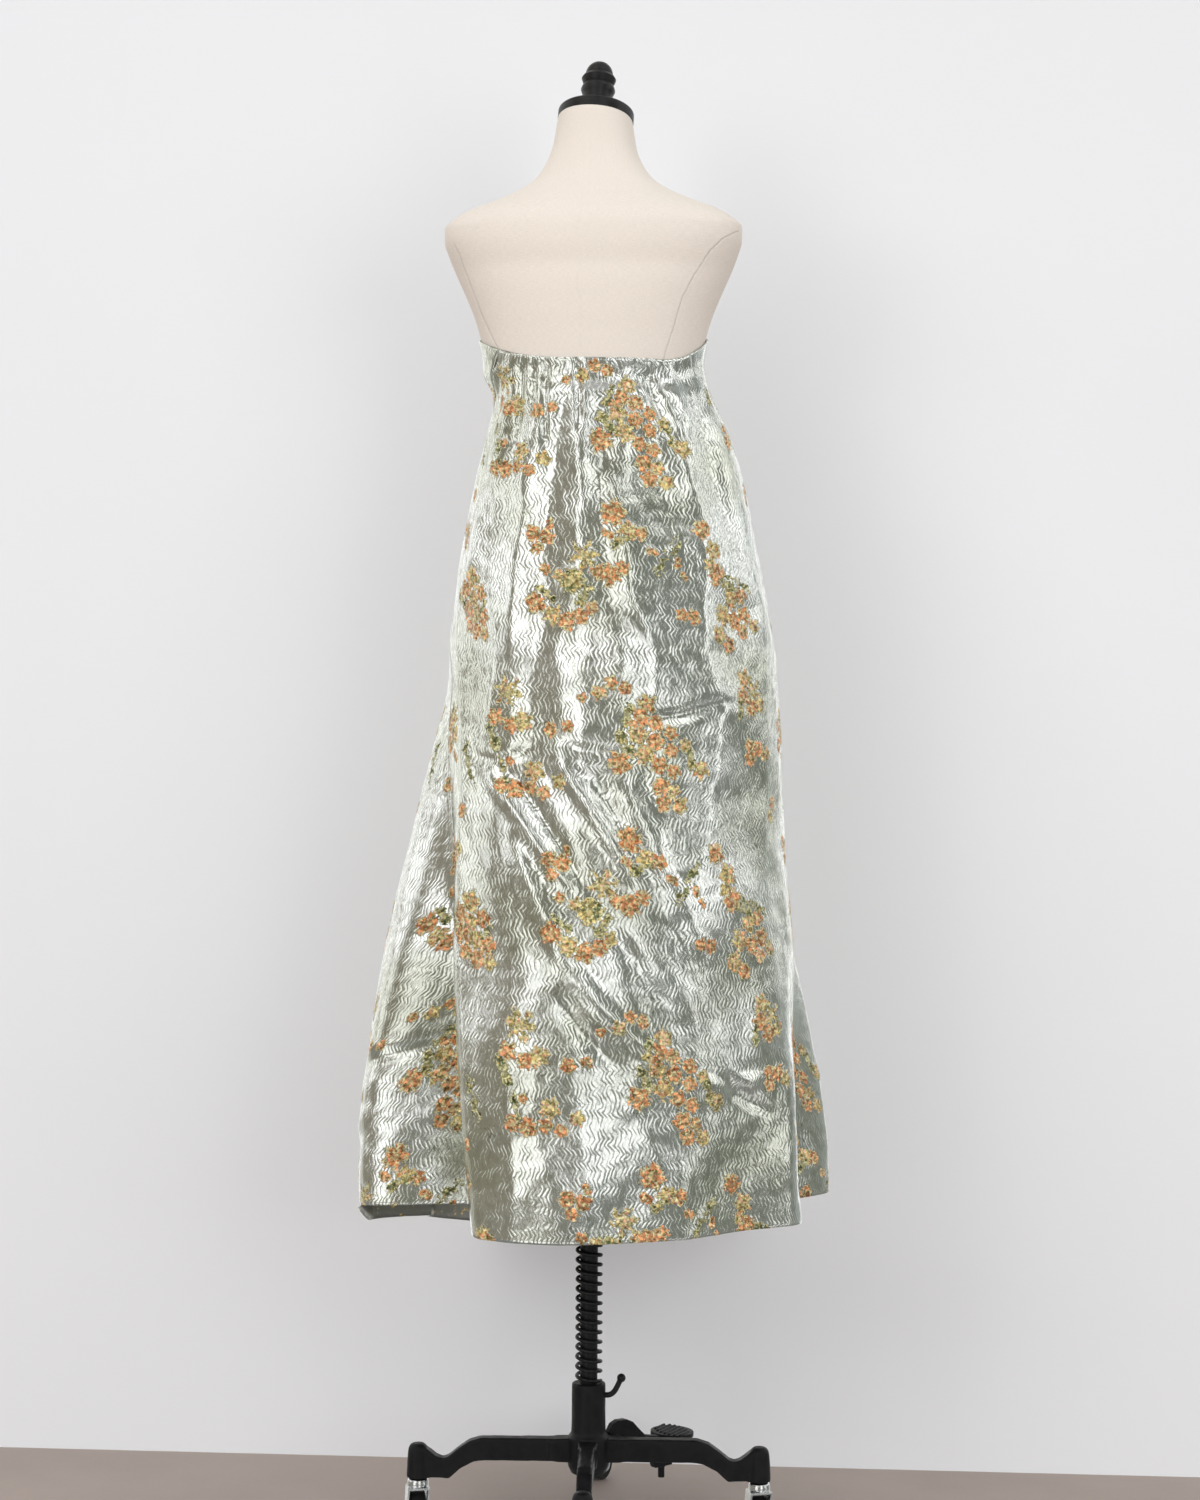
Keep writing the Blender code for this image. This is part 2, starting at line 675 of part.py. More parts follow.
# ---------------------------------------------------------------- the dress
def cloth_wall(name, columns, rows, sides, top_gap=0.0, low_gap=0.0):
    """One cut piece, as a wall: rows of the whole garment's, between the angles that sides gives at
    a height.  Its columns are evenly spaced along the hem, and all pieces share the rows' heights."""
    hem_z = SIDE_SEAMS[-2][0]
    first, last = sides(np.array(hem_z))
    angles = np.linspace(float(first), float(last), HEM_SAMPLES)
    outline = at_pole(angles, hem_height(angles), garment_radius(angles, hem_height(angles)))
    length = np.concatenate([[0.0], np.cumsum(np.linalg.norm(np.diff(outline, axis=0), axis=1))])
    share = np.interp(np.linspace(0.0, length[-1], columns), length, angles)
    share = (share - angles[0]) / (angles[-1] - angles[0])
    down = (np.arange(rows[0], rows[1] + 1)[:, None] / (ROWS - 1)) ** ROW_SPREAD
    height = np.full((len(down), columns), hem_z)
    for _ in range(SEAM_ROUNDS):
        left, right = sides(height)
        angle = left + (right - left) * share
        height = top_height(angle) + (hem_height(angle) - top_height(angle)) * down
    height[0] -= top_gap
    height[-1] += low_gap
    outer = at_pole(angle, height, garment_radius(angle, height))
    inner = outer - CLOTH_THICK * cloth_normal(angle, height)
    return place(mesh_of(wall_between(outer, inner), name), name, CLOTH)


def seam_turn(height):
    """Half the seam's gap, as an angle."""
    return np.degrees(0.5 * SEAM_GAP / drape_radius(90.0, height))


def back_sides(height):
    left, right = side_seams(height)
    return left + seam_turn(height), right - seam_turn(height)


def front_sides(height):
    left, right = side_seams(height)
    return right + seam_turn(height), left + FULL_TURN - seam_turn(height)


def make_dress():
    half = SEAM_GAP / 2.0
    cloth_wall("back_panel", BACK_COLUMNS, (0, ROWS - 1), back_sides)
    cloth_wall("front_bodice", BODICE_COLUMNS, (0, WAIST_ROW), front_sides, low_gap=half)
    cloth_wall("front_skirt", SKIRT_COLUMNS, (WAIST_ROW, ROWS - 1), front_sides, top_gap=half)


# ---------------------------------------------------------------- the dress form
def neck_slope(height):
    """How far the form's sections have come towards the slope of the neck's top."""
    return ease((height - NECK_TILT_FROM_Z) / (FORM[-1][0] - NECK_TILT_FROM_Z))


def neck_frame():
    """The frame of the neck's sloping top: its Z is square to the cap."""
    top, forward = FORM[-1][0], FORM[-1][4]
    tilt = Matrix.Rotation(NECK_ROLL, 4, "Y") @ Matrix.Rotation(-NECK_TILT, 4, "X")
    return Matrix.Translation((0.0, forward, top)) @ tilt


def make_torso():
    heights = [row[0] for row in FORM]
    for low, high in FORM_MORE_RINGS:
        heights.append((low + high) / 2.0)
    angles = np.arange(FORM_RING) * FULL_TURN / FORM_RING
    rows = []
    for height in sorted(heights, reverse=True):
        ring = at_pole(angles, np.full(FORM_RING, height), form_radius(angles, height))
        lean = math.tan(NECK_TILT) * ring[:, 1] + math.tan(NECK_ROLL) * ring[:, 0]
        ring[:, 2] -= neck_slope(height) * lean
        ring[:, 1] += smooth_rows(FORM, 4, height)
        rows.append(ring)
    torso = place(mesh_of(loft(rows, ring=True, caps=True), "torso"), "torso", LINEN)
    below = FORM[0][0] - CUT_PAST
    bore = cylinder("bore", FORM_BORE_RADIUS, below, FORM_BORE_TOP_Z, LINEN, sides=20)
    combine(torso, [bore], "DIFFERENCE")


def make_neck_cap():
    frame = neck_frame()
    top, rim = SEAM_GAP + CAP_THICK, CAP_ROUND
    profile = (
        (CAP_RADIUS - rim, top),
        (CAP_RADIUS - 0.3 * rim, top - 0.3 * rim),
        (CAP_RADIUS, top - rim),
        (CAP_RADIUS, SEAM_GAP + rim),
        (CAP_RADIUS - rim, SEAM_GAP),
    )
    turned("neck_cap", profile, BLACK_WOOD, steps=32, matrix=frame)
    outline = [(r, z) for z, r in FINIAL_PROFILE]
    for a in np.radians(FINIAL_BALL_STEPS):
        height = FINIAL_BALL_CENTRE + FINIAL_BALL_RADIUS * math.sin(a)
        outline.append((FINIAL_BALL_RADIUS * math.cos(a), height))
    base = CAP_THICK + 2.0 * SEAM_GAP
    profile = [(r, z + base) for r, z in reversed(outline)]
    turned("finial", profile, BLACK_WOOD, steps=16, matrix=frame)


# ---------------------------------------------------------------- the stand
def make_pole():
    cylinder("pole", POLE_RADIUS, POLE_BOTTOM_Z, POLE_TOP_Z, BLACK_STEEL, sides=20)


def make_sleeve():
    top = FORM[0][0] - SEAM_GAP
    profile = (
        (SLEEVE_BORE_RADIUS, top),
        (FLANGE_RADIUS, top),
        (FLANGE_RADIUS, top - FLANGE_THICK),
        (SLEEVE_RADIUS, top - FLANGE_THICK - FLANGE_NECK),
        (SLEEVE_RADIUS, SLEEVE_BOTTOM_Z),
        (SLEEVE_BORE_RADIUS, SLEEVE_BOTTOM_Z),
    )
    turned("form_sleeve", profile, BLACK_STEEL, steps=24, closed=True)


def make_spring():
    low = HUB_PROFILE[0][1] + SPRING_WIRE + SEAM_GAP
    high = SLEEVE_BOTTOM_Z - SPRING_WIRE - SEAM_GAP
    turns = round((high - low) / SPRING_PITCH)
    count = turns * SPRING_POINTS_A_TURN + 1
    points = []
    for i in range(count):
        share = i / (count - 1)
        a = 2.0 * math.pi * turns * share
        points.append((SPRING_RADIUS * math.cos(a), SPRING_RADIUS * math.sin(a), low + (high - low) * share))
    wire("spring", points, SPRING_WIRE, BLACK_STEEL, resolution=0)


def outward_x(angle_deg):
    """Turns +X to point out from the pole at this angle."""
    return Matrix.Rotation(math.radians(angle_deg - 90.0), 4, "Z")


def pedal_turn():
    return outward_x(PEDAL_ANGLE)


def pedal_pivot():
    """The frame of the pedal's pin: its Z is the pin's axis."""
    place_of_pin = Matrix.Translation((PEDAL_PIVOT[0], 0.0, PEDAL_PIVOT[1]))
    return pedal_turn() @ place_of_pin @ Matrix.Rotation(math.radians(90.0), 4, "X")


def make_hub():
    hub = turned("hub", HUB_PROFILE, CAST_IRON, steps=28)
    ears = []
    for side in (-1.0, 1.0):
        near = side * EAR_GAP / 2.0
        far = near + side * EAR_THICK
        low = (EAR_ROOT, min(near, far), PEDAL_PIVOT[1] - EAR_HALF_HEIGHT)
        high = (EAR_REACH, max(near, far), PEDAL_PIVOT[1] + EAR_HALF_HEIGHT)
        ears.append(block("ear", low, high, CAST_IRON, matrix=pedal_turn()))
    reach = EAR_GAP / 2.0 + EAR_THICK + PIN_HEAD
    pin = cylinder("pin", PEDAL_PIN_RADIUS, -reach, reach, CAST_IRON, sides=12, matrix=pedal_pivot())
    combine(hub, [*ears, pin], "UNION")
    above = HUB_PROFILE[0][1] + CUT_PAST
    bore = cylinder("bore", HUB_BORE_RADIUS, HUB_BORE_BOTTOM_Z, above, CAST_IRON, sides=24)
    along_x = Matrix.Translation((0.0, 0.0, LEVER_Z)) @ Matrix.Rotation(math.radians(90.0), 4, "Y")
    reach = LEVER_HOLE_FROM + CUT_PAST
    hole = cylinder("hole", LEVER_HOLE_RADIUS, LEVER_HOLE_FROM, reach, CAST_IRON, sides=14, matrix=along_x)
    combine(hub, [bore, hole], "DIFFERENCE")


def make_leg():
    """The first leg, which the others share, and its boss with the bore for the caster's stem."""
    leg = plate("leg_1", LEG_OUTLINE, LEG_WIDTH, CAST_IRON, upright(LEG_ANGLES[0]))
    centre = outward_x(LEG_ANGLES[0]) @ Matrix.Translation((BOSS_REACH, 0.0, 0.0))
    boss = turned("boss", BOSS_PROFILE, CAST_IRON, steps=18, matrix=centre)
    combine(leg, [boss], "UNION")
    below = BOSS_PROFILE[-1][1] - CUT_PAST
    stem_bore = cylinder("bore", STEM_BORE_RADIUS, below, STEM_BORE_TOP_Z, CAST_IRON, sides=12, matrix=centre)
    low, high = LEG_OUTLINE[-1][1] - CUT_PAST, LEG_OUTLINE[0][1] + CUT_PAST
    root = cylinder("root", LEG_ROOT_RADIUS, low, high, CAST_IRON, sides=56)
    return combine(leg, [stem_bore, root], "DIFFERENCE")


def make_legs():
    leg = make_leg()
    for number, angle in enumerate(LEG_ANGLES[1:], start=2):
        other = place(leg.data, f"leg_{number}", CAST_IRON)
        other.rotation_euler = (0.0, 0.0, math.radians(angle - LEG_ANGLES[0]))


def wheel_axis():
    """The frame of a caster's wheel: its Z is the axle's axis."""
    centre = Matrix.Translation((CASTER_TRAIL, 0.0, WHEEL_RADIUS))
    return centre @ Matrix.Rotation(math.radians(90.0), 4, "X")


def make_fork():
    """A caster's fork about its own swivel axis, with stem, bearing cup and axle; it trails to +X."""
    stem_top = STEM_BORE_TOP_Z - STEM_CLEAR
    stem = cylinder("caster_fork_1", STEM_RADIUS, STEM_BOTTOM_Z, stem_top, CHROME, sides=12)
    cup = turned("cup", CUP_PROFILE, CHROME, steps=16)
    outer = FORK_GAP / 2.0 + FORK_SHEET
    inside = outer - FORK_SHEET / 4.0
    half_bridge = FORK_BRIDGE - BRIDGE_INSET
    low = (-half_bridge, -inside, FORK_TOP_Z - 1.2 * FORK_SHEET)
    high = (half_bridge, inside, FORK_TOP_Z - 0.1 * FORK_SHEET)
    bridge = block("bridge", low, high, CHROME)
    cheek_outline = [(-FORK_BRIDGE, FORK_TOP_Z)]
    for a in np.radians(FORK_LUG_STEPS):
        height = WHEEL_RADIUS + FORK_LUG_RADIUS * math.sin(a)
        cheek_outline.append((CASTER_TRAIL + FORK_LUG_RADIUS * math.cos(a), height))
    cheek_outline.append((FORK_BRIDGE, FORK_TOP_Z))
    stand_up = Matrix(((1, 0, 0, 0), (0, 0, -1, 0), (0, 1, 0, 0), (0, 0, 0, 1)))
    cheeks = []
    for side in (-1.0, 1.0):
        matrix = Matrix.Translation((0.0, side * (outer - FORK_SHEET / 2.0), 0.0)) @ stand_up
        cheeks.append(plate("cheek", cheek_outline, FORK_SHEET, CHROME, matrix))
    reach = outer + AXLE_HEAD
    axle = cylinder("axle", AXLE_RADIUS, -reach, reach, CHROME, sides=10, matrix=wheel_axis())
    return combine(stem, [cup, bridge, *cheeks, axle], "UNION")


def make_wheel():
    """A caster's wheel in its place under the fork, with a facet of its tread flat on the floor."""
    half = WHEEL_WIDTH / 2.0
    corner = 1.0 / math.cos(math.pi / WHEEL_SIDES)
    profile = (
        (WHEEL_BORE_RADIUS, half),
        ((WHEEL_RADIUS - WHEEL_ROUND) * corner, half),
        (WHEEL_RADIUS * corner, half - WHEEL_ROUND),
        (WHEEL_RADIUS * corner, WHEEL_ROUND - half),
        ((WHEEL_RADIUS - WHEEL_ROUND) * corner, -half),
        (WHEEL_BORE_RADIUS, -half),
    )
    matrix = wheel_axis() @ Matrix.Rotation(math.pi / WHEEL_SIDES, 4, "Z")
    return turned("caster_wheel_1", profile, BLACK_RUBBER, WHEEL_SIDES, closed=True, matrix=matrix)


def make_casters():
    fork, wheel = make_fork(), make_wheel()
    shapes = {"caster_fork": fork.data, "caster_wheel": wheel.data}
    for obj in (fork, wheel):
        bpy.data.objects.remove(obj, do_unlink=True)
    for number, (leg_deg, turn_deg) in enumerate(zip(LEG_ANGLES, CASTER_TURNS), start=1):
        a = math.radians(leg_deg)
        swivel = bpy.data.objects.new(f"swivel_{number}", None)
        PARTS.objects.link(swivel)
        swivel.location = (BOSS_REACH * math.sin(a), -BOSS_REACH * math.cos(a), 0.0)
        swivel.rotation_euler = (0.0, 0.0, math.radians(turn_deg - 90.0))
        for kind, mesh in shapes.items():
            piece = place(mesh, f"{kind}_{number}", CHROME)
            piece.parent = swivel


def make_lever():
    route = [(reach, 0.0, LEVER_Z + rise) for reach, rise in LEVER_ROUTE]
    lever = wire("lock_lever", route, LEVER_ROD, BLACK_STEEL, resolution=2)
    bm = bmesh.new()
    bmesh.ops.create_uvsphere(bm, u_segments=12, v_segments=8, radius=LEVER_BALL)
    bmesh.ops.translate(bm, verts=bm.verts, vec=route[-1])
    ball = place(mesh_of(bm, "ball"), "ball", BLACK_STEEL)
    combine(lever, [ball], "UNION")


def make_pedal():
    pedal = plate("foot_pedal", PEDAL_ARM, PEDAL_ARM_WIDTH, CAST_IRON, upright(PEDAL_ANGLE))
    turn = pedal_turn()
    size = PEDAL_PLATE
    bm = bmesh.new()
    bmesh.ops.create_cone(bm, cap_ends=True, segments=28, radius1=1.0, radius2=1.0, depth=1.0)
    bmesh.ops.scale(bm, vec=(size["half_depth"], size["half_length"], size["thick"]), verts=bm.verts)
    bmesh.ops.translate(bm, vec=(size["reach"], 0.0, size["top_z"] - size["thick"] / 2.0), verts=bm.verts)
    bmesh.ops.transform(bm, matrix=turn, verts=bm.verts)
    tread = place(mesh_of(bm, "tread"), "tread", CAST_IRON)
    slots = []
    for number in range(PEDAL_SLOTS):
        across = (number - (PEDAL_SLOTS - 1) / 2.0) * PEDAL_SLOT_PITCH
        oval = math.sqrt(1.0 - (across / size["half_length"]) ** 2)
        reach = PEDAL_SLOT_SHARE * oval * size["half_depth"]
        lean = Matrix.Rotation(PEDAL_SLOT_LEAN, 4, "Z")
        centre = turn @ Matrix.Translation((size["reach"], across, size["top_z"])) @ lean
        half = PEDAL_SLOT_WIDTH / 2.0
        low, high = (-reach, -half, -PEDAL_SLOT_DEPTH), (reach, half, PEDAL_SLOT_DEPTH)
        slots.append(block("slot", low, high, CAST_IRON, matrix=centre))
    combine(tread, slots, "DIFFERENCE")
    low, high = PEDAL_BOLT["bottom_z"], PEDAL_BOLT["top_z"]
    place_of_bolt = turn @ Matrix.Translation((PEDAL_BOLT["reach"], 0.0, 0.0))
    bolt = cylinder("bolt", PEDAL_BOLT["radius"], low, high, CAST_IRON, sides=12, matrix=place_of_bolt)
    combine(pedal, [tread, bolt], "UNION")
    reach = PEDAL_ARM_WIDTH / 2.0 + CUT_PAST
    hole = cylinder("hole", PEDAL_HOLE_RADIUS, -reach, reach, CAST_IRON, sides=14, matrix=pedal_pivot())
    combine(pedal, [hole], "DIFFERENCE")


clear_scene()
PARTS = collection(PART)
CLOTH = finish("metallic_brocade", (0.62, 0.66, 0.60), 0.32, 0.85)
LINEN = finish("natural_linen", (0.80, 0.74, 0.66), 0.85)
BLACK_WOOD = finish("black_lacquered_wood", (0.012, 0.012, 0.013), 0.35)
BLACK_STEEL = finish("black_steel", (0.02, 0.02, 0.022), 0.40, 0.6)
CAST_IRON = finish("black_painted_iron", (0.025, 0.025, 0.028), 0.50, 0.3)
CHROME = finish("chrome", (0.80, 0.81, 0.82), 0.12, 1.0)
BLACK_RUBBER = finish("black_rubber", (0.02, 0.02, 0.02), 0.60)

make_dress()
make_torso()
make_neck_cap()
make_pole()
make_sleeve()
make_spring()
make_hub()
make_legs()
make_casters()
make_lever()
make_pedal()
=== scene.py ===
"""Looks of a strapless midi dress on a limbless dress form with a wheeled iron stand.

Laid out as an add-on: property groups hold the sizes and colours, one operator makes each piece or
group of like pieces, and main calls them in order on top of the packed frame.  Metres, +Z up, the
back of the dress to -Y.  Angles round the pole are in degrees from -Y towards +X.
"""

import math

import bmesh
import bpy
import numpy as np
from bpy.props import FloatProperty, FloatVectorProperty, IntProperty, PointerProperty
from mathutils import Matrix, Vector


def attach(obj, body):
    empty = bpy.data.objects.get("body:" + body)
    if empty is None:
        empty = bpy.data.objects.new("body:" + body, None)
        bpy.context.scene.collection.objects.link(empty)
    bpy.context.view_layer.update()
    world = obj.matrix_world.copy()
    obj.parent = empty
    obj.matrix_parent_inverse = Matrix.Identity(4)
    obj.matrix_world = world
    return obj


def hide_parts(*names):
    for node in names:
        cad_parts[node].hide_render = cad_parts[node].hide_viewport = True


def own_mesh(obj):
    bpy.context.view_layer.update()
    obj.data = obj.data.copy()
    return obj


bl_info = {
    "name": "Strapless Midi Dress",
    "version": (1, 0, 0),
    "blender": (4, 5, 0),
    "location": "View3D > Sidebar > Dress",
    "description": "A gathered strapless dress in crinkled metallic brocade, on a dress form",
    "category": "Object",
}

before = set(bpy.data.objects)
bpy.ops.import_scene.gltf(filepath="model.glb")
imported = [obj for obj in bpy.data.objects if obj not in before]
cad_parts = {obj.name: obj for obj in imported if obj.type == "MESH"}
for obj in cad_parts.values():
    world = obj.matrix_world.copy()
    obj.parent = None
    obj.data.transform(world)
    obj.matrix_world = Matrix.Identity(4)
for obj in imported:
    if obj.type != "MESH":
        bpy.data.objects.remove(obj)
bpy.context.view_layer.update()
FULL_TURN = 360.0

# ---------------- the garment's own tables
# The cloth's section round the pole before its folds: height, reach to the left, right, back, front.
SECTIONS = (
    (1.580, 0.150, 0.152, 0.106, 0.120),
    (1.530, 0.147, 0.150, 0.106, 0.128),
    (1.500, 0.143, 0.147, 0.108, 0.130),
    (1.465, 0.129, 0.157, 0.115, 0.122),
    (1.426, 0.136, 0.175, 0.124, 0.116),
    (1.374, 0.149, 0.192, 0.137, 0.119),
    (1.322, 0.159, 0.204, 0.149, 0.128),
    (1.283, 0.168, 0.212, 0.158, 0.136),
    (1.205, 0.178, 0.227, 0.176, 0.152),
    (1.140, 0.184, 0.237, 0.190, 0.166),
    (1.088, 0.187, 0.242, 0.201, 0.178),
    (1.023, 0.202, 0.246, 0.215, 0.191),
    (0.945, 0.220, 0.248, 0.231, 0.206),
    (0.867, 0.235, 0.253, 0.247, 0.221),
    (0.789, 0.250, 0.262, 0.261, 0.236),
    (0.724, 0.262, 0.271, 0.271, 0.248),
    (0.646, 0.276, 0.280, 0.281, 0.262),
    (0.568, 0.286, 0.288, 0.289, 0.274),
    (0.500, 0.288, 0.293, 0.294, 0.283),
    (0.420, 0.289, 0.299, 0.300, 0.292),
    (0.360, 0.290, 0.301, 0.304, 0.298),
)
# Crests and troughs of the open skirt: angle at the hem, angle where it starts, depth, starting height.
FOLDS = (
    (-168.0, -168.0, 0.010, 1.00),
    (-148.0, -148.0, -0.016, 0.95),
    (-131.0, -131.0, 0.012, 0.95),
    (-113.0, -113.0, -0.050, 0.90),
    (-92.0, -92.0, 0.002, 1.00),
    (-67.0, -76.0, 0.013, 1.12),
    (-45.0, -61.0, -0.124, 1.12),
    (-21.5, -46.0, -0.008, 1.12),
    (-8.0, -18.0, 0.006, 0.90),
    (22.0, 15.0, -0.012, 0.90),
    (48.0, 44.0, -0.028, 0.90),
    (65.0, 66.0, 0.000, 0.95),
    (83.0, 84.0, -0.040, 0.84),
    (99.0, 99.0, -0.040, 0.84),
    (113.0, 112.0, 0.040, 0.98),
    (131.0, 131.0, -0.014, 0.86),
    (149.0, 149.0, 0.012, 0.95),
    (172.0, 172.0, -0.012, 1.00),
)
# Soft flutes under the gathers: angle at the top, angle low down, depth, half width in degrees, low end.
FLUTES = (
    (-52.0, -58.0, 0.008, 13.0, 0.98),
    (-27.0, -34.0, 0.011, 14.0, 0.86),
    (-1.0, -8.0, 0.009, 13.0, 0.92),
    (24.0, 14.0, 0.012, 14.0, 0.80),
    (50.0, 46.0, 0.011, 13.0, 0.90),
    (73.0, 76.0, 0.006, 11.0, 0.98),
    (128.0, 126.0, 0.005, 14.0, 0.90),
    (160.0, 160.0, 0.006, 15.0, 0.90),
    (-164.0, -164.0, 0.006, 15.0, 0.90),
    (-130.0, -128.0, 0.005, 14.0, 0.90),
)
TOP_EDGE = (
    (-180.0, 1.570), (-130.0, 1.561), (-86.0, 1.541), (-70.0, 1.530), (-57.0, 1.520), (-40.0, 1.511),
    (-20.0, 1.507), (50.0, 1.506), (63.0, 1.511), (76.0, 1.525), (94.0, 1.543), (130.0, 1.561),
    (180.0, 1.570),
)
HEM = (
    # (angle, height)
    (-180.0, 0.352), (-150.0, 0.352), (-135.0, 0.360), (-112.0, 0.386), (-92.0, 0.392), (-80.0, 0.412),
    (-66.0, 0.434), (-52.0, 0.438), (-38.0, 0.424), (-15.0, 0.419), (70.0, 0.420), (112.0, 0.421),
    (140.0, 0.385), (180.0, 0.352),
)
# The seams between the back panel and the front pieces: height, left angle, right angle.
SIDE_SEAMS = (
    (1.540, -55.0, 63.0),
    (1.465, -77.0, 80.0),
    (1.374, -87.0, 91.0),
    (1.200, -84.0, 92.0),
    (1.088, -67.0, 92.0),
    (0.900, -54.0, 92.0),
    (0.700, -48.0, 92.0),
    (0.420, -45.0, 92.0),
    (0.360, -45.0, 92.0),
)
CLOTH_THICK = 0.0016
CLOTH_EASE = 0.0018
FIT_DROP_BACK = 0.048
FIT_TOP_FRONT, FIT_END_FRONT = 1.440, 1.360
FIT_BACK_DEG, FIT_BLEND_DEG = 125.0, 35.0
WAIST_SHARE = (6.0 / 25.0) ** 1.45
SEAM_GAP = 0.0003

# Sections of the torso: height, half width, reach to the back and the front, how far forward.
FORM = (
    (1.050, 0.138, 0.104, 0.088, 0.0),
    (1.062, 0.146, 0.111, 0.094, 0.0),
    (1.130, 0.152, 0.118, 0.098, 0.0),
    (1.200, 0.146, 0.113, 0.097, 0.0),
    (1.300, 0.120, 0.095, 0.091, 0.0),
    (1.380, 0.107, 0.082, 0.088, 0.0),
    (1.430, 0.114, 0.085, 0.101, 0.0),
    (1.465, 0.124, 0.091, 0.115, 0.0),
    (1.500, 0.136, 0.097, 0.124, 0.0),
    (1.547, 0.147, 0.099, 0.118, 0.0),
    (1.567, 0.153, 0.100, 0.113, 0.0),
    (1.595, 0.164, 0.100, 0.106, 0.0),
    (1.624, 0.177, 0.098, 0.098, 0.0),
    (1.651, 0.188, 0.093, 0.090, -0.006),
    (1.669, 0.1932, 0.088, 0.084, -0.010),
    (1.685, 0.1930, 0.083, 0.078, -0.012),
    (1.697, 0.1810, 0.078, 0.072, -0.012),
    (1.708, 0.1630, 0.072, 0.066, -0.010),
    (1.721, 0.1310, 0.065, 0.060, -0.005),
    (1.7355, 0.1010, 0.059, 0.056, 0.002),
    (1.750, 0.0800, 0.055, 0.053, 0.008),
    (1.769, 0.0655, 0.052, 0.051, 0.013),
    (1.793, 0.0555, 0.050, 0.050, 0.018),
    (1.831, 0.0490, 0.0485, 0.0485, 0.022),
)
FORM_SQUARENESS = 2.15
NECK_TILT, NECK_ROLL = math.radians(14.0), math.radians(3.0)
NECK_TILT_FROM_Z = 1.735

# ---------------- the stand's own tables
CAP_RADIUS, CAP_THICK, CAP_ROUND = 0.0497, 0.0150, 0.0035
FINIAL_PROFILE = (
    # (distance up the finial's own axis, radius)
    (0.0000, 0.0215), (0.0050, 0.0195), (0.0205, 0.0190), (0.0250, 0.0207), (0.0300, 0.0226),
    (0.0345, 0.0212), (0.0380, 0.0188), (0.0410, 0.0208), (0.0460, 0.0226), (0.0500, 0.0202),
)
FINIAL_BALL_RADIUS, FINIAL_BALL_CENTRE = 0.0180, 0.0524
POLE_RADIUS, POLE_BOTTOM_Z, POLE_TOP_Z = 0.0115, 0.0903, 1.150
SLEEVE_RADIUS, SLEEVE_BORE_RADIUS, SLEEVE_BOTTOM_Z = 0.0180, 0.0120, 0.6200
FLANGE_RADIUS, FLANGE_THICK = 0.060, 0.004
HUB_TOP_Z = 0.1880
BASE_TURN = 2.7
LEG_ANGLES = tuple(BASE_TURN + quarter * 90.0 for quarter in range(4))
# How much narrower the cast pieces are drawn than the solids that they stand for.
LEG_TRIM, PEDAL_TRIM = 0.0008, 0.0006
LEG_WIDTH, WEB_WIDTH = 0.0205, 0.0255
BOSS_REACH = 0.2220
LEG_OUTLINE = (
    # (distance from the pole, height), along the top and back along the underside
    (0.0200, 0.1160), (0.1400, 0.1158), (0.1560, 0.1110), (0.1720, 0.0995), (0.1830, 0.0905),
    (0.1900, 0.0885), (0.1980, 0.0915), (0.2100, 0.1010), (0.2200, 0.1030), (0.2240, 0.0640),
    (0.1810, 0.0625), (0.1660, 0.0760), (0.1480, 0.0850), (0.1340, 0.0865), (0.0200, 0.0865),
)
BOSS_PROFILE = (
    # (radius, height), down the outside from the top
    (0.0060, 0.1068), (0.0100, 0.1050), (0.0125, 0.1000), (0.0137, 0.0900), (0.0150, 0.0640),
    (0.0150, 0.0622),
)
STEM_RADIUS, STEM_BORE_TOP_Z = 0.0050, 0.0960
WHEEL_RADIUS, WHEEL_WIDTH = 0.0210, 0.0210
AXLE_RADIUS = 0.0030
CASTER_TRAIL = 0.0120
FORK_GAP, FORK_SHEET = 0.0242, 0.0024
FORK_TOP_Z, FORK_BRIDGE = 0.0500, 0.0140
# Each cheek is rounded about the axle, between these angles.
FORK_LUG_RADIUS, FORK_LUG_FROM, FORK_LUG_TO = 0.0085, -165.0, 10.0
FORK_BEVEL, RIVET_PROUD, RIVET_ROUND = 0.0005, 0.0012, 0.0006
CUP_PROFILE = (
    # (radius, height), down the outside from the top: the swivel's bearing cup
    (0.0090, 0.0618), (0.0128, 0.0600), (0.0138, 0.0560), (0.0138, 0.0525), (0.0120, 0.0490),
)
CASTER_TURNS = (197.0, 197.0, 150.0, 196.0)
LEVER_Z, LEVER_ROD, LEVER_BALL = 0.1720, 0.0036, 0.0057
LEVER_ROUTE = (
    # (distance from the pole, height above the lever's own axis)
    (0.0150, 0.0000), (0.0245, 0.0000), (0.0290, 0.0012), (0.0335, 0.0050), (0.0370, 0.0110),
    (0.0400, 0.0175), (0.0425, 0.0225),
)
PEDAL_ANGLE = BASE_TURN + 132.0
PEDAL_ARM_WIDTH = 0.0110
PEDAL_ARM = (
    # (distance from the pole, height), along the top and back along the underside
    (0.0320, 0.1180), (0.0390, 0.1280), (0.0480, 0.1315), (0.0620, 0.1310), (0.0730, 0.1260),
    (0.0840, 0.1150), (0.0950, 0.1050), (0.1180, 0.1000), (0.1500, 0.0980), (0.1500, 0.0920),
    (0.1420, 0.0580), (0.1130, 0.0580), (0.1000, 0.0860), (0.0700, 0.0960), (0.0400, 0.0940),
    (0.0330, 0.0990),
)
PEDAL_PLATE = {
    "reach": 0.1460,
    "half_length": 0.0310,
    "half_depth": 0.0270,
    "top_z": 0.1020,
    "thick": 0.0060,
}
PEDAL_BOLT = {"reach": 0.1270, "radius": 0.0045, "bottom_z": 0.0430, "top_z": 0.0700}
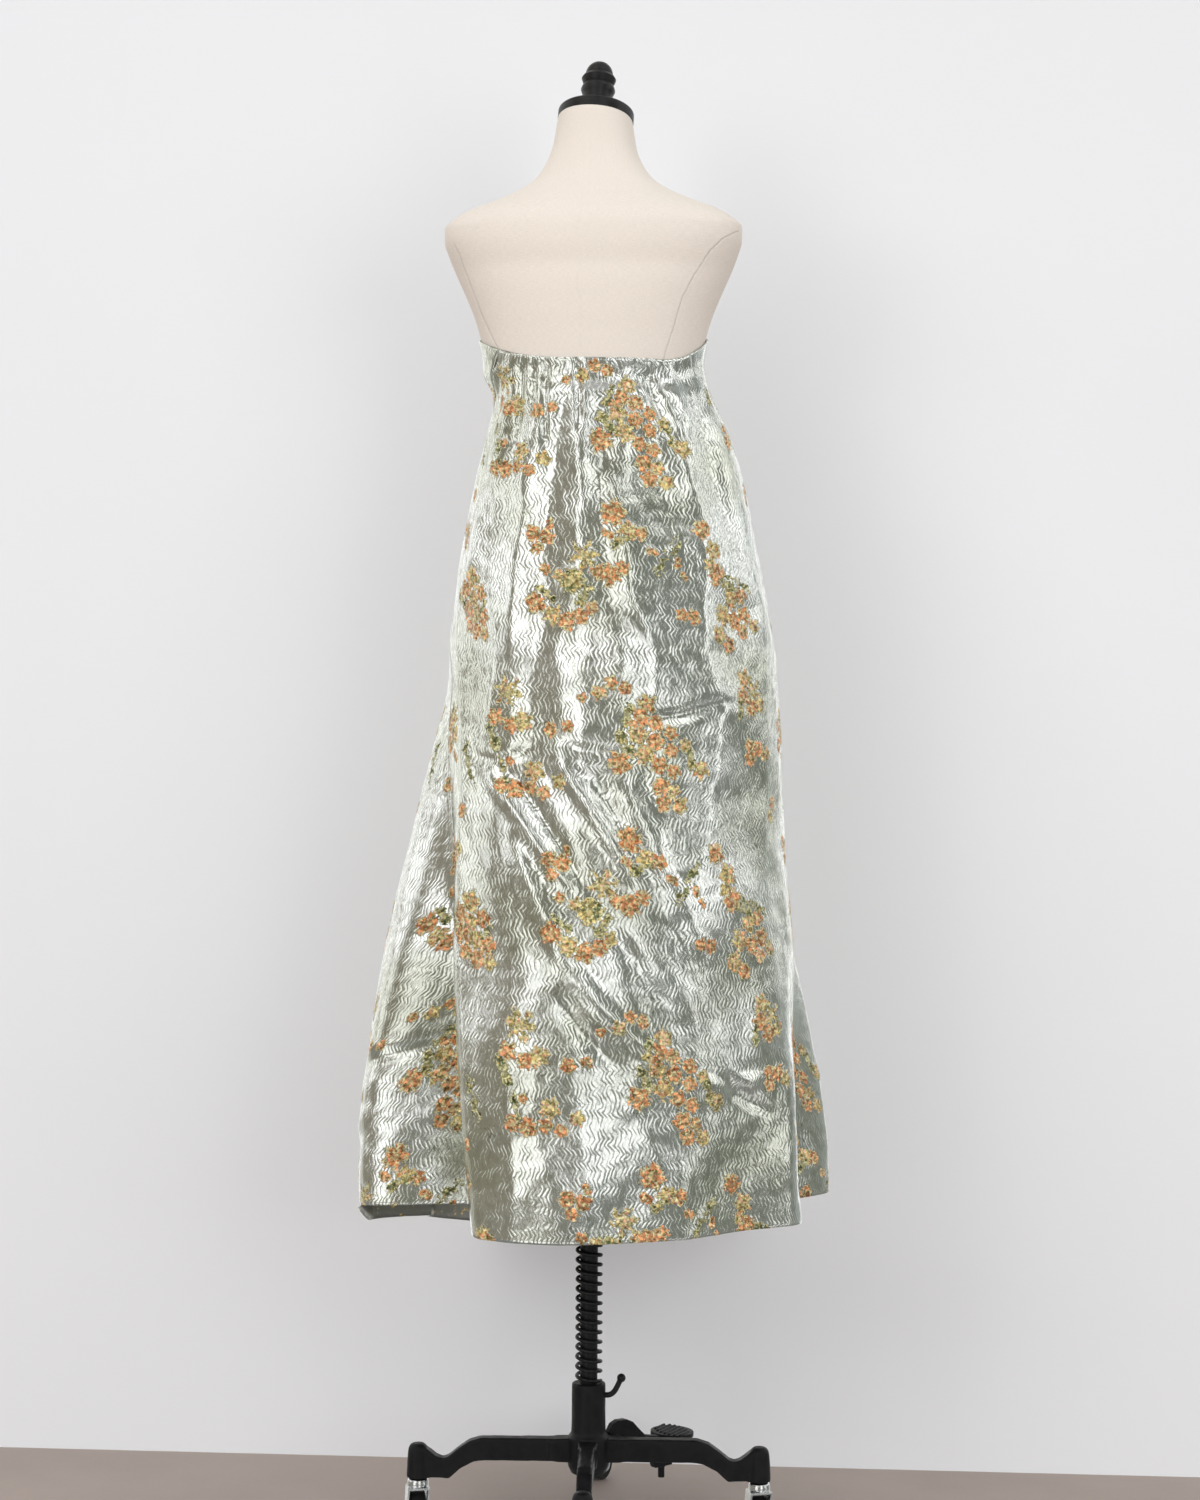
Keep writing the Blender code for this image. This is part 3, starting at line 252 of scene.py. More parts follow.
RIB_HALF_WIDTH, RIB_THICK, RIB_SINK, RIB_LEAN, RIB_REACH = 0.0013, 0.0052, 0.0003, 0.35, 0.80
EAR_THICK, EAR_GAP = 0.0034, 0.0116
SPRING_RADIUS, SPRING_WIRE = 0.01560, 0.0024
SPRING_LOW_Z = HUB_TOP_Z + SPRING_WIRE + SEAM_GAP
SPRING_HIGH_Z = SLEEVE_BOTTOM_Z - SPRING_WIRE - SEAM_GAP
SPRING_STEEL, TUBE_STEEL = (0.006, 0.006, 0.007), (0.005, 0.005, 0.006)

# Finer outlines for the turned and cast pieces, as (radius, height) or (reach, height).
FINIAL_BASE_Z = CAP_THICK + 2.0 * SEAM_GAP


def arc(reach, height, radius, degrees):
    """Points of a round edge about (reach, height), at these degrees from the top, outwards and down."""
    turns = [math.radians(a) for a in degrees]
    return [(reach + radius * math.sin(a), height + radius * math.cos(a)) for a in turns]


CAP_TOP_Z, CAP_FOOT_ROUND = CAP_THICK + SEAM_GAP, 0.3 * CAP_ROUND
CAP_PROFILE = (
    (0.0, CAP_TOP_Z),
    *arc(CAP_RADIUS - CAP_ROUND, CAP_TOP_Z - CAP_ROUND, CAP_ROUND, range(0, 91, 15)),
    *arc(CAP_RADIUS - CAP_FOOT_ROUND, SEAM_GAP + CAP_FOOT_ROUND, CAP_FOOT_ROUND, range(90, 181, 30)),
    (0.0, SEAM_GAP),
)
FINIAL_SHAPE = (
    *arc(0.0, FINIAL_BASE_Z + FINIAL_BALL_CENTRE, FINIAL_BALL_RADIUS, range(0, 98, 8)),
    *[(radius, FINIAL_BASE_Z + up) for up, radius in reversed(FINIAL_PROFILE)],
    (0.0, FINIAL_BASE_Z),
)
HUB_SHAPE = (
    (0.0128, 0.1878), (0.0186, 0.1880), (0.0206, 0.1874), (0.0218, 0.1858), (0.0220, 0.1700),
    (0.0222, 0.1300), (0.0240, 0.1215), (0.0268, 0.1170), (0.0270, 0.1000), (0.0270, 0.0830),
    (0.0240, 0.0750), (0.0200, 0.0705), (0.0, 0.0700),
)
EAR_OUTLINE = (
    (0.0150, 0.1160), (0.0400, 0.1160), (0.0455, 0.1140), (0.0485, 0.1095), (0.0485, 0.1005),
    (0.0455, 0.0960), (0.0400, 0.0940), (0.0150, 0.0940),
)
LEG_WEB = (
    (0.0200, 0.1172), (0.0420, 0.1165), (0.0500, 0.1130), (0.0500, 0.0900), (0.0420, 0.0862),
    (0.0200, 0.0855),
)
POLE_PROFILE = (
    (0.0, POLE_TOP_Z),
    (POLE_RADIUS - 0.001, POLE_TOP_Z),
    (POLE_RADIUS, POLE_TOP_Z - 0.001),
    (POLE_RADIUS, POLE_BOTTOM_Z),
    (0.0, POLE_BOTTOM_Z),
)
SLEEVE_TOP_Z = FORM[0][0] - SEAM_GAP
SLEEVE_PROFILE = (
    (0.0, SLEEVE_TOP_Z),
    (FLANGE_RADIUS - 0.001, SLEEVE_TOP_Z),
    (FLANGE_RADIUS, SLEEVE_TOP_Z - 0.001),
    (FLANGE_RADIUS, SLEEVE_TOP_Z - FLANGE_THICK),
    (SLEEVE_RADIUS + 0.002, SLEEVE_TOP_Z - FLANGE_THICK - 0.001),
    (SLEEVE_RADIUS, SLEEVE_TOP_Z - FLANGE_THICK - 0.004),
    (SLEEVE_RADIUS, SLEEVE_BOTTOM_Z + 0.0012),
    (SLEEVE_RADIUS - 0.0012, SLEEVE_BOTTOM_Z),
    (SLEEVE_BORE_RADIUS, SLEEVE_BOTTOM_Z),
    (SLEEVE_BORE_RADIUS, SLEEVE_BOTTOM_Z + 0.02),
    (0.0, SLEEVE_BOTTOM_Z + 0.02),
)
STEM_TOP_Z, STEM_FOOT_Z = STEM_BORE_TOP_Z - 0.002, 0.055
# Takes a flat outline's Y up to +Z, and a turned piece's axis from Z to Y at the caster's axle.
STAND_UP = Matrix(((1, 0, 0, 0), (0, 0, -1, 0), (0, 1, 0, 0), (0, 0, 0, 1)))
TO_AXLE = Matrix.Translation((CASTER_TRAIL, 0.0, WHEEL_RADIUS)) @ Matrix.Rotation(math.radians(90.0), 4, "X")
# Half of a wheel's outline: radius, and how far in from the wheel's side.
WHEEL_HALF = (
    (0.0, 0.0018), (0.0060, 0.0018), (0.0070, 0.0004), (0.0082, 0.0), (0.0140, 0.0), (0.0150, 0.0008),
    (0.0162, 0.0), (0.0188, 0.0002), (0.0203, 0.0010), (0.0209, 0.0026),
)
WHEEL_PROFILE = (
    *[(radius, 0.5 * WHEEL_WIDTH - inset) for radius, inset in WHEEL_HALF],
    (WHEEL_RADIUS, 0.0),
    *[(radius, inset - 0.5 * WHEEL_WIDTH) for radius, inset in reversed(WHEEL_HALF)],
)
# Routes of the torso's seams, as (across, height).
RIGHT_ARM_SEAM = (
    (0.190, 1.677), (0.1695, 1.6625), (0.153, 1.645), (0.1326, 1.612), (0.1187, 1.584), (0.108, 1.546),
    (0.098, 1.5155), (0.086, 1.45),
)
LEFT_ARM_SEAM = (
    (-0.178, 1.664), (-0.1700, 1.6475), (-0.1560, 1.6094), (-0.140, 1.5675), (-0.124, 1.5345),
    (-0.113, 1.5155), (-0.098, 1.45),
)
FRONT_ARM_SEAM = (
    (0.150, 1.694), (0.128, 1.655), (0.112, 1.610), (0.100, 1.560), (0.088, 1.500), (0.080, 1.42),
)
# The seams: whether at the back, route, depth. The shallower ones have no line drawn on them.
SEAM_SHOWN_FROM = 0.0005
FORM_SEAMS = (
    (True, RIGHT_ARM_SEAM, 0.0009),
    (True, LEFT_ARM_SEAM, 0.0009),
    (True, ((-0.004, 1.80), (-0.0035, 1.70), (-0.0030, 1.60), (-0.003, 1.45)), 0.0003),
    (False, FRONT_ARM_SEAM, 0.0009),
    (False, tuple((-x, z) for x, z in FRONT_ARM_SEAM), 0.0009),
)

# ---------------- the cloth's crinkles
RIPPLE_DROP, RIPPLE_SWAY = 0.0200, 0.0029
WARP_PITCH, WEFT_PITCH = 0.00062, 0.00044
# The first colour darkens random flecks of the ground and is also the painted shade in the ripples' valleys;
# the second is the reverse's ground.
FLECK_AND_VALLEY_SHADE, REVERSE = (0.42, 0.42, 0.38), (0.34, 0.34, 0.30)
# The second colour is the gold of the flowers' rims and hearts, and also of the glints painted on them as
# highlights.
PEACH, GOLD_THREAD_AND_GLINT = (1.0, 0.62, 0.42), (1.0, 0.93, 0.52)

# ---------------- the stage
FLOOR_CORNERS = ((-6.0, -6.0, 0.0), (6.0, -6.0, 0.0), (6.0, 6.0, 0.0), (-6.0, 6.0, 0.0))
WALL_CORNERS = ((-6.0, 0.318, -0.001), (6.0, 0.318, -0.001), (6.0, 0.318, 5.0), (-6.0, 0.318, 5.0))
LENS_SHIFT, CAMERA_ROLL = 0.0057, math.radians(0.25)
WORLD_STRENGTH, WALL_GLOW = 1.05, 0.19
# Narrow slats of light and shade all round, for the small streaks of a creased metallic cloth.
SLAT_RATE, SLAT_DARK, SLAT_LIGHT = 44.0, 0.74, 1.26
BACKDROP = (0.74, 0.75, 0.78)
WORLD_LEFT, WORLD_RIGHT = (0.262, 0.242, 0.192), (0.200, 0.212, 0.186)
WORLD_BACK_LEFT, WORLD_BACK_RIGHT = (0.58, 0.57, 0.52), (0.36, 0.38, 0.37)
WORLD_LOW, WORLD_TOP = (0.26, 0.26, 0.25), (0.45, 0.45, 0.45)
# Bright boxes round the dress: turn from the camera's side, half width, soft edge, low, high, brightness.
SOFTBOXES = (
    (-2.45, 0.10, 0.04, -0.10, 0.66, 1.35),
    (-2.02, 0.11, 0.04, 0.02, 0.66, 1.25),
    (-1.55, 0.12, 0.04, 0.02, 0.66, 1.40),
    (-0.42, 0.20, 0.05, 0.28, 0.66, 1.55),
    (0.49, 0.13, 0.05, 0.24, 0.66, 1.55),
    (1.55, 0.12, 0.04, 0.16, 0.66, 1.50),
    (1.94, 0.08, 0.04, 0.12, 0.66, 1.30),
    (2.40, 0.08, 0.04, 0.02, 0.66, 1.30),
    (2.86, 0.11, 0.05, -0.50, 0.90, 1.25),
    (-2.86, 0.09, 0.05, -0.50, 0.90, 1.25),
    (-0.85, 0.36, 0.06, 0.68, 1.35, 1.45),
    (0.46, 0.09, 0.05, 0.68, 1.35, 1.45),
    (1.22, 0.30, 0.06, 0.68, 1.35, 1.45),
    (-1.30, 0.16, 0.06, 0.15, 0.31, 1.20),
    (-0.33, 0.15, 0.05, 0.12, 0.26, 1.35),
    (0.25, 0.18, 0.05, 0.12, 0.26, 1.35),
    (1.19, 0.15, 0.06, 0.02, 0.25, 1.30),
    (-0.50, 0.20, 0.05, -0.16, 0.13, 1.45),
    (0.46, 0.14, 0.06, -0.13, 0.13, 1.35),
    (1.35, 0.05, 0.04, -0.17, 0.01, 1.40),
    (-0.50, 0.20, 0.05, -1.20, -0.38, 1.30),
    (0.46, 0.16, 0.06, -1.20, -0.38, 1.20),
    (1.35, 0.07, 0.05, -1.20, -0.38, 1.20),
)
# Lamps: name, place, aim, size and power.
LAMPS = (
    ("key", (-2.2, -2.8, 2.1), (0.0, 0.0, 1.1), (1.6, 1.6), 29.0),
    ("fill", (2.2, -3.0, 1.5), (0.0, 0.0, 1.1), (1.8, 1.8), 31.0),
    ("sky", (0.0, -1.6, 4.2), (0.0, 0.3, 0.6), (3.0, 2.0), 12.0),
    ("front", (0.7, 3.0, 1.9), (0.0, 0.0, 1.1), (2.0, 2.0), 14.0),
)


# ---------------- maths of the surfaces
def ease(t):
    """A smooth step from 0 to 1."""
    t = np.clip(t, 0.0, 1.0)
    return t * t * (3.0 - 2.0 * t)


def smooth_rows(rows, column, at):
    """Column `column` of a table at `at`, a value of its first column, on a smooth monotone curve."""
    table = np.array(sorted(rows), float)
    x, y = table[:, 0], table[:, column]
    slope = np.diff(y) / np.diff(x)
    product, total = slope[:-1] * slope[1:], slope[:-1] + slope[1:] + 1e-12
    inner = np.where(product > 0.0, 2.0 * product / total, 0.0)
    tangent = np.concatenate([[slope[0]], inner, [slope[-1]]])
    at = np.clip(at, x[0], x[-1])
    i = np.clip(np.searchsorted(x, at) - 1, 0, len(x) - 2)
    span = x[i + 1] - x[i]
    t = (at - x[i]) / span
    return (
        y[i] * (1 + 2 * t) * (1 - t) ** 2
        + y[i + 1] * t * t * (3 - 2 * t)
        + span * (tangent[i] * t * (1 - t) ** 2 - tangent[i + 1] * t * t * (1 - t))
    )


def turn_between(angle, centre):
    """The signed angle from centre to angle, in degrees, from -180 to 180."""
    return (angle - centre + 180.0) % FULL_TURN - 180.0


def top_height(angle):
    """Height of the dress's top edge."""
    return smooth_rows(TOP_EDGE, 1, turn_between(angle, 0.0))


def hem_height(angle):
    """Height of the dress's hem."""
    return smooth_rows(HEM, 1, turn_between(angle, 0.0))


def form_radius(angle, height):
    """The torso's radius at this angle and height, about the section's own centre."""
    half, back, front = (smooth_rows(FORM, c, height) for c in (1, 2, 3))
    a = np.radians(angle)
    depth = np.where(np.cos(a) > 0.0, back, front)
    n = FORM_SQUARENESS
    return (np.abs(np.sin(a) / half) ** n + np.abs(np.cos(a) / depth) ** n) ** (-1.0 / n)


def drape_radius(angle, height):
    """The free cloth's plain section, with no folds."""
    left, right, back, front = (smooth_rows(SECTIONS, c, height) for c in (1, 2, 3, 4))
    a = np.radians(angle)
    half = np.where(np.sin(a) > 0.0, right, left)
    depth = np.where(np.cos(a) > 0.0, back, front)
    return (np.abs(np.sin(a) / half) ** 2 + np.abs(np.cos(a) / depth) ** 2) ** -0.5


def fold_depth(angle, height):
    """How far the skirt's folds stand out here, eased from each crest or trough to the next."""
    hem = hem_height(angle)
    places, depths = [], []
    for at_hem, at_start, depth, start in FOLDS:
        down = np.clip((start - height) / (start - hem), 0.0, 1.0)
        places.append(at_start + (at_hem - at_start) * down)
        depths.append(depth * ease(down))
    places.append(places[0] + FULL_TURN)
    depths.append(depths[0])
    depth = np.zeros(np.broadcast(angle, height).shape)
    first = places[0]
    at = (angle - first) % FULL_TURN + first
    for i in range(len(FOLDS)):
        between = (at >= places[i]) & (at < places[i + 1])
        t = ease((at - places[i]) / (places[i + 1] - places[i]))
        depth = np.where(between, depths[i] + (depths[i + 1] - depths[i]) * t, depth)
    return depth


def flute_depth(angle, height):
    """How far the soft flutes under the gathers stand out here."""
    top = top_height(angle)
    depth = np.zeros(np.broadcast(angle, height).shape)
    for top_deg, low_deg, high, half_width, low_z in FLUTES:
        down = np.clip((top - height) / (top - low_z), 0.0, 1.0)
        centre = top_deg + (low_deg - top_deg) * down
        across = np.clip(np.abs(turn_between(angle, centre)) / half_width, 0.0, 1.0)
        depth = depth + high * (1.0 - ease(across)) * ease(down / 0.22) * (1.0 - ease((down - 0.45) / 0.55))
    return depth


def side_seams(height):
    """The angles of the left and right seams between the back panel and the front pieces."""
    return smooth_rows(SIDE_SEAMS, 1, height), smooth_rows(SIDE_SEAMS, 2, height)


def fitted_radius(angle, height):
    """The outer face of cloth that lies on the torso."""
    return form_radius(angle, height) + CLOTH_EASE + CLOTH_THICK


def garment_radius(angle, height):
    """The outer face of the cloth before its creases, as a radius round the pole."""
    top = top_height(angle)
    behind = ease((FIT_BACK_DEG - np.abs(turn_between(angle, 0.0))) / FIT_BLEND_DEG)
    fit_back = ease((height - top + FIT_DROP_BACK) / (0.75 * FIT_DROP_BACK))
    fit_front = ease((height - FIT_END_FRONT) / (FIT_TOP_FRONT - FIT_END_FRONT))
    fit = behind * fit_back + (1.0 - behind) * fit_front
    fitted = fitted_radius(angle, height)
    loose = drape_radius(angle, height) + fold_depth(angle, height) + flute_depth(angle, height)
    return fit * fitted + (1.0 - fit) * np.maximum(loose, fitted)


def at_pole(angle, height, radius):
    """Points at these angles, heights and radii round the pole."""
    a = np.radians(angle)
    return np.stack([radius * np.sin(a), -radius * np.cos(a), height + 0.0 * radius], axis=-1)


# ---------------- creases and the woven pattern
# Creases of the back panel, seen square to it: points (across, height), depth, half width, lean.
# Depth is out of the cloth; lean makes one flank stand higher than the other.
BACK_CREASES = (
    (((-0.1170, 1.505), (-0.1180, 1.460), (-0.1200, 1.410)), -0.0035, 0.0055, 0.3),
    (((-0.0870, 1.500), (-0.0880, 1.455), (-0.0900, 1.400)), -0.0045, 0.0050, -0.3),
    (((-0.0700, 1.500), (-0.0690, 1.465), (-0.0670, 1.430)), -0.0030, 0.0045, 0.4),
    (((-0.0540, 1.500), (-0.0530, 1.450), (-0.0500, 1.380)), -0.0045, 0.0055, 0.3),
    (((-0.0110, 1.500), (-0.0100, 1.460), (-0.0075, 1.400)), -0.0040, 0.0050, -0.3),
    (((0.0380, 1.500), (0.0375, 1.450), (0.0370, 1.385)), -0.0045, 0.0055, 0.4),
    (((0.0620, 1.500), (0.0660, 1.475), (0.0720, 1.440)), -0.0025, 0.0045, -0.2),
    (((0.0760, 1.498), (0.0860, 1.468), (0.1050, 1.425), (0.1330, 1.376)), -0.0075, 0.0080, 0.8),
    (((0.1000, 1.490), (0.1160, 1.455), (0.1360, 1.415)), 0.0040, 0.0090, -0.3),
    (((0.0780, 1.049), (0.1200, 1.056), (0.1620, 1.068), (0.2000, 1.077)), -0.0042, 0.0085, 0.8),
    (((-0.1500, 1.006), (-0.1050, 0.998), (-0.0700, 1.010), (-0.0380, 1.024)), -0.0038, 0.0090, 0.8),
    (((-0.0270, 1.014), (0.0100, 1.004), (0.0420, 1.000)), -0.0045, 0.0090, -0.8),
    (((-0.1250, 0.990), (-0.0750, 0.930), (-0.0300, 0.866), (0.0050, 0.810)), 0.0095, 0.0140, 0.5),
    (((-0.1000, 1.000), (-0.0480, 0.935), (-0.0100, 0.880), (0.0200, 0.830)), -0.0085, 0.0120, 0.3),
    (((-0.0420, 1.011), (0.0100, 0.945), (0.0450, 0.890), (0.0800, 0.830)), 0.0090, 0.0130, 0.5),
    (((0.0180, 0.985), (0.0500, 0.930), (0.0820, 0.860)), -0.0065, 0.0120, 0.3),
    (((0.0600, 0.975), (0.0950, 0.905), (0.1180, 0.840), (0.1250, 0.790)), 0.0060, 0.0130, -0.4),
    (((-0.1000, 0.945), (-0.0600, 0.850), (-0.0150, 0.760), (0.0350, 0.680)), 0.0075, 0.0150, 0.4),
    (((-0.0050, 0.740), (0.0400, 0.690), (0.0850, 0.650), (0.1300, 0.610)), 0.0070, 0.0120, 0.5),
    (((-0.0250, 0.720), (0.0200, 0.665), (0.0700, 0.620)), -0.0060, 0.0110, 0.3),
    (((0.0450, 0.800), (0.0900, 0.730), (0.1400, 0.665)), -0.0060, 0.0160, 0.4),
    (((0.1150, 0.860), (0.1400, 0.800), (0.1600, 0.740)), 0.0065, 0.0150, 0.3),
    (((0.1750, 0.620), (0.2050, 0.590), (0.2480, 0.560)), -0.0090, 0.0100, 0.8),
    (((0.1300, 0.600), (0.1850, 0.596), (0.2500, 0.605)), 0.0060, 0.0120, 0.5),
)
# The stiff cloth hangs in flat panes between fold lines. Each row: height, the lines across in mm,
# how far out each line stands in tenths of a mm, and the share of flatness.
UPPER_PANES = (
    (0.820, (-148, -107, -83, -63, 18, 30, 65, 98, 150, 228), (0, 0, 0, 0, 0, 0, 0, 0, 0, 0), 0.0),
    (0.880, (-148, -107, -83, -63, 10, 22, 65, 100, 155, 228), (4, 0, -4, -22, -8, 0, 0, 14, 8, 4), 0.5),
    (0.949, (-148, -107, -83, -63, -2, 16, 65, 105, 163, 228), (10, 0, -10, -45, -18, 0, 0, 28, 17, 8), 0.9),
    (
        1.010,
        (-151, -108, -85, -69, -19, 6, 59, 105, 174, 228),
        (12, -3, -8, -45, -10, 19, -26, 16, -8, 10),
        1.0,
    ),
    (
        1.071,
        (-157, -115, -89, -64, -22, 5, 53, 92, 178, 226),
        (25, -12, -34, -56, -50, 2, -32, -3, -8, 15),
        1.0,
    ),
    (
        1.132,
        (-164, -110, -92, -53, -30, 7, 52, 95, 154, 222),
        (10, -26, -38, -52, -58, 12, -14, 42, 5, 5),
        1.0,
    ),
    (1.193, (-168, -117, -92, -40, -12, 3, 33, 64, 153, 222), (10, -5, -52, -48, -42, 0, 22, 42, 8, 5), 1.0),
    (1.254, (-147, -115, -87, -44, -6, 3, 30, 55, 153, 205), (0, 12, -45, -25, -6, 26, 56, 50, -4, 0), 1.0),
    (1.315, (-139, -118, -78, -44, -4, 2, 27, 46, 146, 172), (0, -8, -60, -28, -8, 14, 56, 44, -10, 0), 1.0),
    (1.376, (-137, -121, -80, -36, -8, -2, 8, 24, 123, 147), (0, -8, -28, -16, -8, 2, 16, 20, 4, 0), 0.6),
    (1.430, (-133, -121, -81, -30, -10, -4, 4, 24, 104, 131), (0, 0, 0, 0, 0, 0, 0, 0, 0, 0), 0.0),
)
LOWER_PANES = (
    (0.380, (-105, -70, -14, 19, 126, 141, 207, 261), (-60, -108, -142, -134, -124, -102, -80, -60), 0.9),
    (0.485, (-106, -70, -19, 18, 124, 138, 209, 261), (12, -34, -68, -60, -50, -28, -5, 12), 0.9),
    (0.522, (-108, -72, -36, 19, 103, 150, 218, 261), (12, -32, -66, -64, -54, -30, -8, 12), 0.9),
    (0.583, (-108, -76, -44, 6, 72, 148, 218, 260), (12, -16, -54, -62, -50, -28, -5, 12), 0.9),
    (0.644, (-116, -82, -45, 2, 79, 150, 218, 252), (8, -14, -42, -50, -26, 5, 35, 8), 0.6),
    (0.740, (-120, -86, -46, 0, 70, 140, 205, 240), (0, 0, 0, 0, 0, 0, 0, 0), 0.0),
)
# Creases of the front pieces: points (angle, height), depth, half width in metres, lean.
FRONT_CREASES = (
    (((-72.0, 0.610), (-60.0, 0.640), (-50.0, 0.668)), -0.0090, 0.0110, 0.9),
    (((-95.0, 0.470), (-75.0, 0.520), (-58.0, 0.560)), 0.0050, 0.0160, 0.6),
    (((-78.0, 0.900), (-80.0, 0.760), (-84.0, 0.600)), 0.0050, 0.0180, 0.3),
    (((-70.0, 1.000), (-68.0, 0.850), (-70.0, 0.700)), -0.0045, 0.0150, 0.3),
    (((108.0, 0.720), (110.0, 0.600), (113.0, 0.430)), 0.0040, 0.0140, 0.3),
    (((128.0, 1.395), (132.0, 1.250), (133.0, 1.050)), 0.0050, 0.0200, 0.3),
    (((150.0, 1.395), (152.0, 1.230), (155.0, 0.980)), -0.0045, 0.0180, -0.3),
    (((176.0, 1.395), (178.0, 1.260), (181.0, 1.080)), 0.0050, 0.0190, 0.4),
    (((202.0, 1.395), (201.0, 1.220), (198.0, 1.000)), -0.0050, 0.0180, 0.3),
    (((224.0, 1.395), (226.0, 1.240), (229.0, 1.060)), 0.0045, 0.0180, -0.3),
    (((165.0, 1.040), (185.0, 0.960), (203.0, 0.860)), 0.0045, 0.0170, 0.5),
    (((190.0, 0.820), (172.0, 0.740), (160.0, 0.640)), -0.0040, 0.0160, 0.4),
    (((215.0, 0.900), (228.0, 0.820), (240.0, 0.740)), 0.0045, 0.0160, 0.6),
)
METRES_A_DEGREE = 0.0042
# A crease that starts above this height runs up into the gathers, and doesn't fade there.
GATHER_CREASE_Z = 1.48
PANE_LINE_SWAY, PANE_EDGE_COLUMNS = 0.0012, 14.0
# Lengths over which the top edge and the side seams stay flat, and the clearance from the torso.
FLAT_AT_TOP, FLAT_AT_SEAMS, CLEAR_OF_FORM = 0.012, 0.006, 0.0004
# The gathered top's pleats: where the valleys are along it, each ridge's height and reach down.
GATHER_VALLEYS = (
    *(0.0, 0.045, 0.11, 0.150, 0.215, 0.26, 0.325, 0.375, 0.42, 0.50),
    *(0.545, 0.61, 0.665, 0.70, 0.775, 0.83, 0.87, 0.94, 1.0),
)
GATHER_HEIGHTS = (18, 34, 22, 40, 24, 36, 20, 26, 42, 22, 38, 26, 20, 40, 24, 18, 36, 24)
GATHER_REACHES = (50, 80, 60, 105, 70, 95, 55, 75, 110, 60, 90, 70, 55, 115, 75, 50, 85, 60)

# The kinds of motif: petals, how deep the gaps between them are, how pointed, and tone
# (0 orange, 0.5 gold, 1 green).
MOTIF_KINDS = {
    "blossom": (5.0, 0.34, 0.55, 0.05),
    "peach": (5.0, 0.28, 0.50, 0.14),
    "gilt": (5.0, 0.40, 0.70, 0.50),
    "lily": (6.0, 0.72, 1.60, 0.58),
    "round": (8.0, 0.14, 0.60, 0.72),
    "bud": (2.0, 0.52, 1.20, 0.06),
    "leaf": (2.0, 0.78, 3.00, 0.95),
    "stem": (2.0, 0.93, 14.0, 1.00),
}
REPEAT_WIDTH, REPEAT_HEIGHT, PATTERN_LEAN = 0.560, 0.408, 0.076
PATTERN_TOP_Z, PATTERN_STRETCH = 1.515, 1.012
MOTIF_SCALE = 1.15
